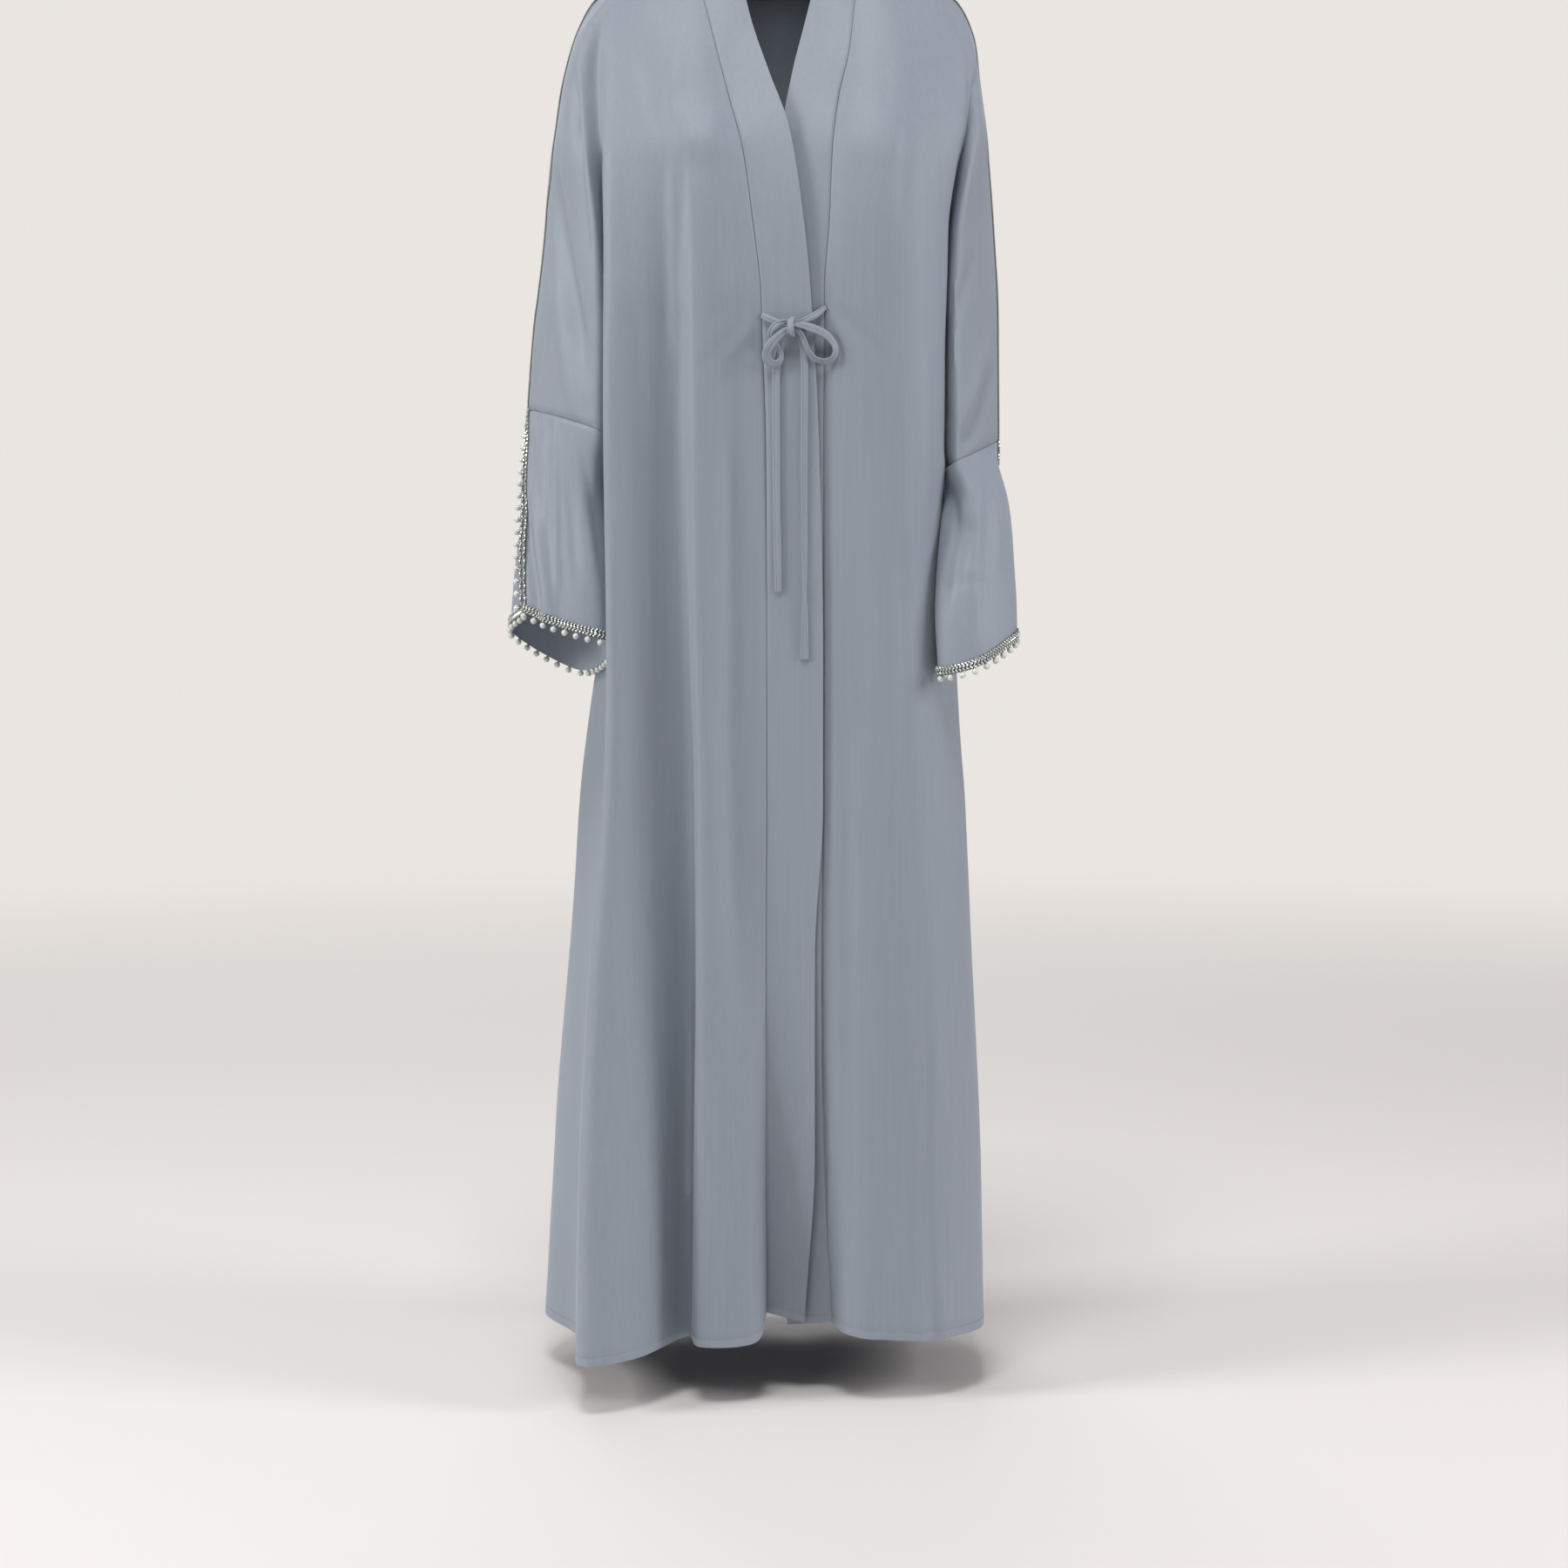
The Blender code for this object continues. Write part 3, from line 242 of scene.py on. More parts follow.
# Share of a flute's width that it has from the start, and how fast its depth grows.
FLUTE_START_WIDTH = 0.75
FLUTE_GROWTH = 1.3

# Ties, from the band seam through the knot and its loop to the free end: (across, back, level).
TIE_ROUTE = {RIGHT: (
    (-13, -135.8, 363.5), (-8, -138.4, 366), (-1, -140.4, 369), (6, -142.2, 371.3), (12, -144.0, 372),
    (15.6, -146.4, 372), (11.5, -149.0, 370.3), (5.5, -149.2, 371.8), (0, -148.4, 375), (-3.4, -146.6, 381),
    (-1.8, -144.8, 388), (2.4, -144.2, 394.5), (6.4, -144.2, 401.5), (4.9, -144.8, 408.8),
    (-1.2, -145.4, 411.6), (-7.3, -146.4, 407.8), (-8.2, -148.0, 400.5), (-4.2, -150.6, 392.5),
    (1.5, -151.6, 386), (8.0, -151.0, 380.6), (13.6, -148.0, 377.4), (11.5, -144.0, 381.5),
    (7.5, -142.0, 389), (3.6, -140.6, 402), (1.6, -140.4, 417), (1.2, -140.6, 450), (1.5, -141.0, 500),
    (2, -141.1, 560), (3, -141.2, 610), (3.5, -141.3, 636),
), LEFT: (
    (50, -136.2, 355.5), (44, -138.2, 360.5), (37, -142.0, 365), (30, -143.6, 369), (24, -144.2, 371),
    (18.5, -145.4, 371.5), (15.8, -148.0, 373), (19.5, -150.4, 373.2), (27, -150.0, 373.6),
    (37, -148.0, 376.4), (47, -145.0, 380.5), (55.5, -143.0, 387.5), (60, -142.4, 397), (57.5, -142.6, 405.5),
    (49, -143.0, 409), (40, -144.8, 406.5), (33.5, -147.0, 399.5), (29.5, -148.6, 390), (24, -149.6, 380.5),
    (17.5, -148.8, 376), (16.4, -145.8, 377), (20, -144.0, 379), (24.6, -142.8, 384.5), (27.6, -142.4, 395),
    (29, -142.4, 407), (29.3, -142.5, 420), (29.3, -142.7, 450), (29.0, -142.8, 520), (29.2, -143.2, 600),
    (29.4, -143.6, 640), (29.5, -143.9, 670), (29.5, -144.0, 703),
)}


# ---- Smooth lines and tables ----


def hermite_shares(t):
    """Weights of start, end, start tangent and end tangent at the place t of a cubic."""
    return 2 * t**3 - 3 * t**2 + 1, 3 * t**2 - 2 * t**3, t**3 - 2 * t**2 + t, t**3 - t**2


def hermite(knots, values, at, tangents):
    """Cubic through values at knots, with the given tangents, read at the places in at."""
    span = np.clip(np.searchsorted(knots, at, side="right") - 1, 0, len(knots) - 2)
    width = (knots[span + 1] - knots[span])[:, None]
    t = (at - knots[span])[:, None] / width
    start, end, leave, arrive = hermite_shares(t)
    lift = start * values[span] + end * values[span + 1]
    return lift + leave * width * tangents[span] + arrive * width * tangents[span + 1]


def down_the_table(levels, values, at):
    """Values between the rows of a table, by a cubic that never overshoots a row."""
    knots, values = np.asarray(levels, float), np.asarray(values, float)
    slopes = np.diff(values, axis=0) / np.diff(knots)[:, None]
    tangents = np.zeros_like(values)
    before, after = slopes[:-1], slopes[1:]
    same_way = before * after > 0
    safe = np.where(same_way, np.abs(before) + np.abs(after), 1.0)
    tangents[1:-1] = np.where(same_way, 2 * np.abs(before * after) / safe * np.sign(before), 0.0)
    tangents[0], tangents[-1] = slopes[0], slopes[-1]
    return hermite(knots, values, np.asarray(at, float), tangents)


def table_rows(table, levels):
    """The (out, back) pairs of each column, read at the levels."""
    flat = np.array([row[1:] for row in table], float).reshape(len(table), -1)
    return down_the_table([row[0] for row in table], flat, levels).reshape(len(levels), -1, 2)


def distances_along(points):
    """Distance along a line of points, at each of them."""
    return np.concatenate([[0], np.cumsum(np.linalg.norm(np.diff(points, axis=0), axis=1))])


class Section:
    """A smooth line through the control points of one row, read by distance along it."""

    DETAIL = 24

    def __init__(self, controls, closed=False):
        points = np.asarray(controls, float)
        if closed:
            points = np.vstack([points[-2], points, points[1]])
        steps = np.maximum(np.linalg.norm(np.diff(points, axis=0), axis=1), 1e-6)
        knots = np.concatenate([[0], np.cumsum(np.sqrt(steps))])
        slopes = np.diff(points, axis=0) / np.diff(knots)[:, None]
        widths = np.diff(knots)[:, None]
        tangents = np.zeros_like(points)
        mixed = slopes[:-1] * widths[1:] + slopes[1:] * widths[:-1]
        tangents[1:-1] = mixed / (widths[1:] + widths[:-1])
        tangents[0], tangents[-1] = slopes[0], slopes[-1]
        first, last = (1, len(points) - 2) if closed else (0, len(points) - 1)
        fine = [np.linspace(knots[k], knots[k + 1], self.DETAIL, endpoint=False) for k in range(first, last)]
        self.line = hermite(knots, points, np.append(np.concatenate(fine), knots[last]), tangents)
        self.distance = distances_along(self.line)
        self.marks = self.distance[:: self.DETAIL]

    def at(self, distances):
        return np.stack([np.interp(distances, self.distance, self.line[:, k]) for k in range(3)], axis=-1)

    def between(self, first, last, count):
        return np.linspace(self.marks[first], self.marks[last], count + 1)


def below(points):
    """Points of (across, back, level), with the level turned into a height."""
    return [(across, back, -level) for across, back, level in points]


def eased(share):
    """0 to 1 with level ends."""
    share = np.clip(share, 0.0, 1.0)
    return share * share * (3 - 2 * share)


def refined(first, last):
    """Even levels from first to last, about a row's step apart."""
    return np.linspace(first, last, max(1, math.ceil((last - first) / ROW_STEP)) + 1)


def margin(seam, beside):
    """A distance a seam's step away from the seam, on the way to the next column."""
    most = 0.6
    return seam + (beside - seam) * min(SEAM_STEP / max(abs(beside - seam), 1e-6), most)


def unit(vectors):
    return vectors / np.maximum(np.linalg.norm(vectors, axis=-1, keepdims=True), 1e-9)


# ---- The cloth's grids, in millimetres ----


def shoulder_level(out):
    """The shoulder seam falls from the neck to the shoulder tip, faster towards the tip."""
    share = np.clip((out - NECK_OUT) / (SHOULDER_TIP - NECK_OUT), 0, 1)
    even, bent = SHOULDER_SLOPE
    return SHOULDER_DROP * (even * share + bent * share**3)


def fluted(panel, points):
    """Carry points out of the panel by the soft flutes that grow towards the hem."""
    level = -points[..., 2]
    depth = np.zeros(level.shape)
    for name, top, foot, half_width, full, start in FLUTES:
        if name != panel:
            continue
        share = np.clip((level - start) / (HEM - start), 0, None)
        middle = top + (foot - top) * share
        reach = half_width * (FLUTE_START_WIDTH + (1 - FLUTE_START_WIDTH) * share)
        offset = np.clip(np.abs(points[..., 0] - middle) / reach, 0, 1)
        depth += full * share**FLUTE_GROWTH * np.cos(offset * math.pi / 2) ** 2
    moved = points.copy()
    moved[..., 1] += depth * (1.0 if panel == "back" else -1.0)
    return moved


def beside_seams(even):
    """The same columns, with one more beside the seam at each end."""
    return np.insert(even, (1, len(even) - 1), (margin(even[0], even[1]), margin(even[-1], even[-2])))


def front_columns(line):
    spans = [line.between(k, k + 1, FRONT_SPANS)[:-1] for k in range(CREASE)]
    return beside_seams(np.append(np.concatenate(spans), line.marks[CREASE]))


def blade_columns(line, shoulder, crease):
    return beside_seams(line.between(shoulder, crease, CREASE * FRONT_SPANS))


def arm_columns(line, crease, arm, over):
    """From the crease to the overarm seam, with closer columns where the braids lie."""
    way = 1 if over > arm else -1
    narrow = line.marks[over] - way * OVERARM_BRAID_HALF_WIDTH
    wide = narrow - way * CUFF_BRAID_WIDTH
    inner = line.between(crease, arm, CREASE_TO_ARM_SPANS)
    inner = np.insert(inner, 1, margin(inner[0], inner[1]))
    outer = np.linspace(line.marks[arm], wide, ARM_TO_TRIM_SPANS + 1)[1:]
    trim = np.linspace(wide, narrow, TRIM_SPANS + 1)[1:]
    return np.concatenate([inner, outer, trim, [(narrow + line.marks[over]) / 2, line.marks[over]]])


class Half:
    """One half of the cloak, as grids of rows and columns: front, back, arm, lower sleeve and band."""

    SEAM_SHARES = (0.07, 0.17, 0.4, 0.7)
    HEM_STEPS = (11.5, HEM_WIDTH, 6.5, 1.5, 0.0)
    NECK_LEVEL = 5.0
    SLOPE_STEP = 0.5

    def __init__(self, side):
        self.side, self.out = side, OUTWARD[side]
        self.make_upper()
        self.make_body()
        self.make_sleeve()
        self.make_lower_sleeve()
        self.make_band()

    def place(self, pairs, levels):
        """Points of this half from (out, back) pairs and their levels."""
        heights = -np.asarray(levels) + 0 * pairs[..., 0]
        return np.stack([self.out * pairs[..., 0], pairs[..., 1], heights], axis=-1)

    def upper_controls(self, levels):
        """Control points of front, arm and back at each level above the underarm."""
        keep = (1 - levels / UNDERARM)[:, None]
        found = []
        for table, drops in ((FRONT[self.side], ()), (ARM[self.side], ()), (BACK, NECK_DROP)):
            drops = list(drops) + [shoulder_level(pair[0]) for pair in table[0][1 + len(drops) :]]
            found.append(self.place(table_rows(table, levels), levels[:, None] + keep * np.array(drops)))
        return found

    def make_upper(self):
        """Rows from the shoulder seam to the underarm, each across body and arm together."""
        levels = np.concatenate([[0.0, self.NECK_LEVEL, self.NECK_LEVEL + self.SLOPE_STEP],
                                 refined(self.NECK_LEVEL, UNDERARM)[1:]])
        body, arms, backs = self.upper_controls(levels)
        fronts, rears = [], []
        for k in range(1, len(levels)):
            line = Section(np.vstack([body[k], arms[k, 1:], backs[k, ::-1]]))
            front_arm = arm_columns(line, CREASE, ARM_FRONT, OVERARM)[1:]
            back_arm = arm_columns(line, BACK_CREASE, ARM_BACK, OVERARM)[1:]
            fronts.append(line.at(np.concatenate([front_columns(line), front_arm])))
            rears.append(line.at(np.append(self.back_columns(line, BACK_CREASE), back_arm)))
        rears[-1][NECK_SPANS + BODY_COLUMNS] = fronts[-1][BODY_COLUMNS]
        seam = Section(np.vstack([body[0], arms[0, 1:3]]))
        columns = np.concatenate([front_columns(seam), arm_columns(seam, CREASE, ARM_FRONT, OVERARM)[1:]])
        front_seam = seam.at(columns)
        neck = Section(backs[0, : BACK_SHOULDER + 1])
        back_seam = np.vstack([neck.at(neck.between(0, BACK_SHOULDER, NECK_SPANS))[:-1], front_seam])
        self.front = self.from_seam(front_seam, fronts)
        self.back = self.from_seam(back_seam, rears)
        shares = np.array((0.0,) + self.SEAM_SHARES + (1.0,))
        self.upper_levels = np.concatenate([shares * self.NECK_LEVEL, levels[3:]])

    @staticmethod
    def back_columns(line, crease):
        """Columns of a whole row's back, from the centre to the crease or the side seam."""
        centre = len(line.marks) - 1
        shoulder = centre - BACK_SHOULDER
        neck = line.between(centre, shoulder, NECK_SPANS)
        return np.append(neck, blade_columns(line, shoulder, crease)[1:])

    def from_seam(self, seam, rows):
        """Rows that leave the seam smoothly and run into the first full row, and the rest."""
        first = rows[0]
        into = (rows[1] - rows[0]) / self.SLOPE_STEP * self.NECK_LEVEL
        out_of = 1.5 * (first - seam) - 0.5 * into
        near = []
        for share in self.SEAM_SHARES:
            start, end, leave, arrive = hermite_shares(share)
            near.append(start * seam + end * first + leave * out_of + arrive * into)
        return np.array([seam] + near + [first] + rows[2:])

    def make_body(self):
        """Rows of the body below the underarm, from the band seam round the side to the centre back."""
        levels = np.append(refined(UNDERARM, HEM - 2 * ROW_STEP), HEM - np.array(self.HEM_STEPS))
        front, back = table_rows(FRONT[self.side], levels), table_rows(BACK, levels)
        share = ((levels - UNDERARM) / (HEM - UNDERARM))[:, None]
        body = self.place(front, UNDERARM + share * (np.array(HEM_LEVELS[self.side]) - UNDERARM))
        backs = self.place(back, UNDERARM + share * (BACK_HEM_LEVEL - UNDERARM))
        fronts, rears = [], []
        for k in range(len(levels)):
            line = Section(np.vstack([body[k], backs[k, ::-1]]))
            fronts.append(line.at(front_columns(line)))
            rears.append(line.at(self.back_columns(line, CREASE)))
        ease = 1 - eased((levels - UNDERARM) / UNDERARM_EASE)[:, None, None]
        fronts, rears = np.array(fronts), np.array(rears)
        fronts = fronts + ease * (self.front[-1, : BODY_COLUMNS + 1] - fronts[0])
        rears = rears + ease * (self.back[-1, : NECK_SPANS + BODY_COLUMNS + 1] - rears[0])
        fronts[1:] = fluted(self.side + "_front", fronts[1:])
        rears[1:] = fluted("back", rears[1:])
        rears[:, -1] = fronts[:, -1]
        self.body_front, self.body_back, self.body_levels = fronts, rears, levels

    def make_sleeve(self):
        """Rings of the upper sleeve below the underarm, down to the slanting elbow seam."""
        even = refined(UNDERARM, ELBOW)
        levels = np.insert(even, len(even) - 1, ELBOW - SEAM_STEP)
        inner, front, over, back = ELBOW_LEVEL[self.side]
        share = ((levels - UNDERARM) / (ELBOW - UNDERARM))[:, None]
        rings = self.place(table_rows(ARM[self.side], levels),
                           UNDERARM + share * (np.array((inner, front, over, back, inner)) - UNDERARM))
        lines = [Section(ring, closed=True) for ring in rings]
        fronts = np.array([line.at(arm_columns(line, 0, 1, 2)) for line in lines])
        rears = np.array([line.at(arm_columns(line, 4, 3, 2)) for line in lines])
        ease = 1 - eased((levels - UNDERARM) / SLEEVE_EASE)[:, None, None]
        self.front_sleeve = fronts + ease * (self.front[-1, BODY_COLUMNS:] - fronts[0])
        self.back_sleeve = rears + ease * (self.back[-1, NECK_SPANS + BODY_COLUMNS :] - rears[0])
        self.back_sleeve[:, 0] = self.front_sleeve[:, 0]
        self.back_sleeve[:, -1] = self.front_sleeve[:, -1]

    def make_lower_sleeve(self):
        """The flared lower sleeve, from the front edge of its slit round to the back edge."""
        ends = slice(None, NARROW_MARK + 1)
        top = np.vstack([self.front_sleeve[-1, ends][::-1], self.back_sleeve[-1, ends][1:]])
        # Columns of the elbow seam that the falls of the lower sleeve start from.
        outer = TRIM_SPANS + ARM_TO_TRIM_SPANS // 3
        front = TRIM_SPANS + ARM_TO_TRIM_SPANS
        inner = NARROW_MARK
        columns = (0, outer, front, inner, 2 * inner - front, 2 * inner - outer, 2 * inner)
        controls = [top[list(columns)]]
        for row in LOWER_SLEEVE[self.side]:
            controls.append(np.array(below(row)) * (self.out, 1, 1))
        steps = np.linspace(0, 1, LOWER_SLEEVE_ROWS + 1)
        falls = []
        for k in range(len(columns)):
            fall = Section([row[k] for row in controls])
            long = fall.marks[-1] - CUFF_BRAID_WIDTH
            down = np.insert(steps * long, 1, SEAM_STEP)
            cuff = CUFF_BRAID_WIDTH * np.arange(1, TRIM_SPANS + 1) / TRIM_SPANS
            falls.append(fall.at(np.append(down, long + cuff)))
        rows = [self.lower_row(ring) for ring in np.array(falls).transpose(1, 0, 2)]
        seam_share = 0.01
        progress = np.concatenate([[0, seam_share], steps[1:], [1] * TRIM_SPANS])
        ease = 1 - eased(progress / LOWER_SLEEVE_EASE)[:, None, None]
        self.lower = np.array(rows) + ease * (top - rows[0])

    @staticmethod
    def lower_row(ring):
        """One row round the lower sleeve, with closer columns where the slit's braids lie."""
        line = Section(ring)
        edge = np.linspace(0, CUFF_BRAID_WIDTH, TRIM_SPANS + 1)
        last = line.marks[SLIT_BACK] - CUFF_BRAID_WIDTH
        outer = np.linspace(CUFF_BRAID_WIDTH, line.marks[SLEEVE_FRONT], ARM_TO_TRIM_SPANS + 1)[1:]
        inner = line.between(SLEEVE_FRONT, SLEEVE_INNER, CREASE_TO_ARM_SPANS)
        inner = np.insert(inner, len(inner) - 1, margin(inner[-1], inner[-2]))[1:]
        far = line.between(SLEEVE_INNER, SLEEVE_BACK, CREASE_TO_ARM_SPANS)
        far = np.insert(far, 1, margin(far[0], far[1]))[1:]
        back = np.linspace(line.marks[SLEEVE_BACK], last, ARM_TO_TRIM_SPANS + 1)[1:]
        return line.at(np.concatenate([edge, outer, inner, far, back, last + edge[1:]]))

    def make_band(self):
        """The band from the hem up the front seam and round the neck to the centre back."""
        table = BAND_EDGE[self.side]
        levels = np.append(self.upper_levels, self.body_levels[1:])
        edges = down_the_table([row[0] for row in table], [row[1] for row in table], levels)
        edges = self.place(edges[:, :2], edges[:, 2])
        seam = np.vstack([self.front[:, 0], self.body_front[1:, 0]])
        neck = Section(np.array(below(BAND_BACK_EDGE[::-1])) * (self.out, 1, 1))
        neck_edges = neck.at(neck.between(0, len(BAND_BACK_EDGE) - 1, NECK_SPANS))[1:]
        seam = np.vstack([seam[::-1], self.back[0, :NECK_SPANS][::-1]])
        edges = np.vstack([edges[::-1], neck_edges])
        shares = np.linspace(0, 1, BAND_SPANS + 1)
        rows = []
        for start, end, wide in zip(seam, edges, np.linalg.norm(edges - seam, axis=1)):
            step = SEAM_STEP / wide
            row = np.insert(shares, (1, BAND_SPANS), (step, 1 - step))
            rows.append(start + row[:, None] * (end - start))
        self.band = np.array(rows)


# ---- One shared cloth, cut into its panels ----


class Cloth:
    """Points that the panels share, with their normals, and the quads of each panel."""

    def __init__(self, halves):
        self.sheets, self.quads, self.regions, self.grids = [], {}, {}, {}
        arm = NECK_SPANS + BODY_COLUMNS
        for side, half in halves.items():
            front, back = side + "_front", "back"
            for panel, region, grid, face, rows in (
                (front, side + "_body", "chest", FRONT_FACE, half.front[:, : BODY_COLUMNS + 1]),
                (front, side + "_body", "skirt", FRONT_FACE, half.body_front),
                (front, side + "_arm", "upper_arm", FRONT_FACE, half.front[:, BODY_COLUMNS:]),
                (front, side + "_arm", "elbow", FRONT_FACE, half.front_sleeve),
                (back, "back_body", "blade", BACK_FACE, half.back[:, : arm + 1]),
                (back, "back_body", "back_skirt", BACK_FACE, half.body_back),
                (back, side + "_back_arm", "back_upper_arm", BACK_FACE, half.back[:, arm:]),
                (back, side + "_back_arm", "back_elbow", BACK_FACE, half.back_sleeve),
                (side + "_lower_sleeve", side + "_lower", "flare", BACK_FACE, half.lower),
                (side + "_band", side + "_strip", "strip", FRONT_FACE, half.band),
            ):
                flip = (side == LEFT) == (face == FRONT_FACE)
                self.sheets.append((panel, region, (side, grid), rows, flip))
        self.merge()

    def merge(self):
        """Give points at the same place one number, so that panels share their seams."""
        every = np.vstack([sheet[3].reshape(-1, 3) for sheet in self.sheets])
        keys = np.round(every * POINTS_PER_MM).astype(np.int64)
        _, first, ids = np.unique(keys, axis=0, return_index=True, return_inverse=True)
        ids = ids.reshape(-1)
        self.points = every[first]
        at = 0
        for panel, region, grid, rows, flip in self.sheets:
            count = rows.shape[0] * rows.shape[1]
            numbers = ids[at : at + count].reshape(rows.shape[:2])
            at += count
            corners = (numbers[:-1, :-1], numbers[:-1, 1:], numbers[1:, 1:], numbers[1:, :-1])
            quads = np.stack(corners, axis=-1).reshape(-1, 4)
            self.quads.setdefault(panel, []).append(quads[:, ::-1] if flip else quads)
            self.regions.setdefault(region, []).append(numbers.reshape(-1))
            self.grids[grid] = numbers
        self.quads = {panel: np.vstack(parts) for panel, parts in self.quads.items()}
        self.regions = {region: np.unique(np.concatenate(parts)) for region, parts in self.regions.items()}
        self.find_normals()

    def find_normals(self):
        total = np.zeros_like(self.points)
        for quads in self.quads.values():
            p = self.points[quads]
            face = np.cross(p[:, 2] - p[:, 0], p[:, 3] - p[:, 1])
            for k in range(4):
                np.add.at(total, quads[:, k], face)
        self.normals = unit(total)

    def move(self, shift):
        """Move every point along its normal, and find the normals again."""
        self.points = self.points + self.normals * shift[:, None]
        self.find_normals()


# ---- Creases ----

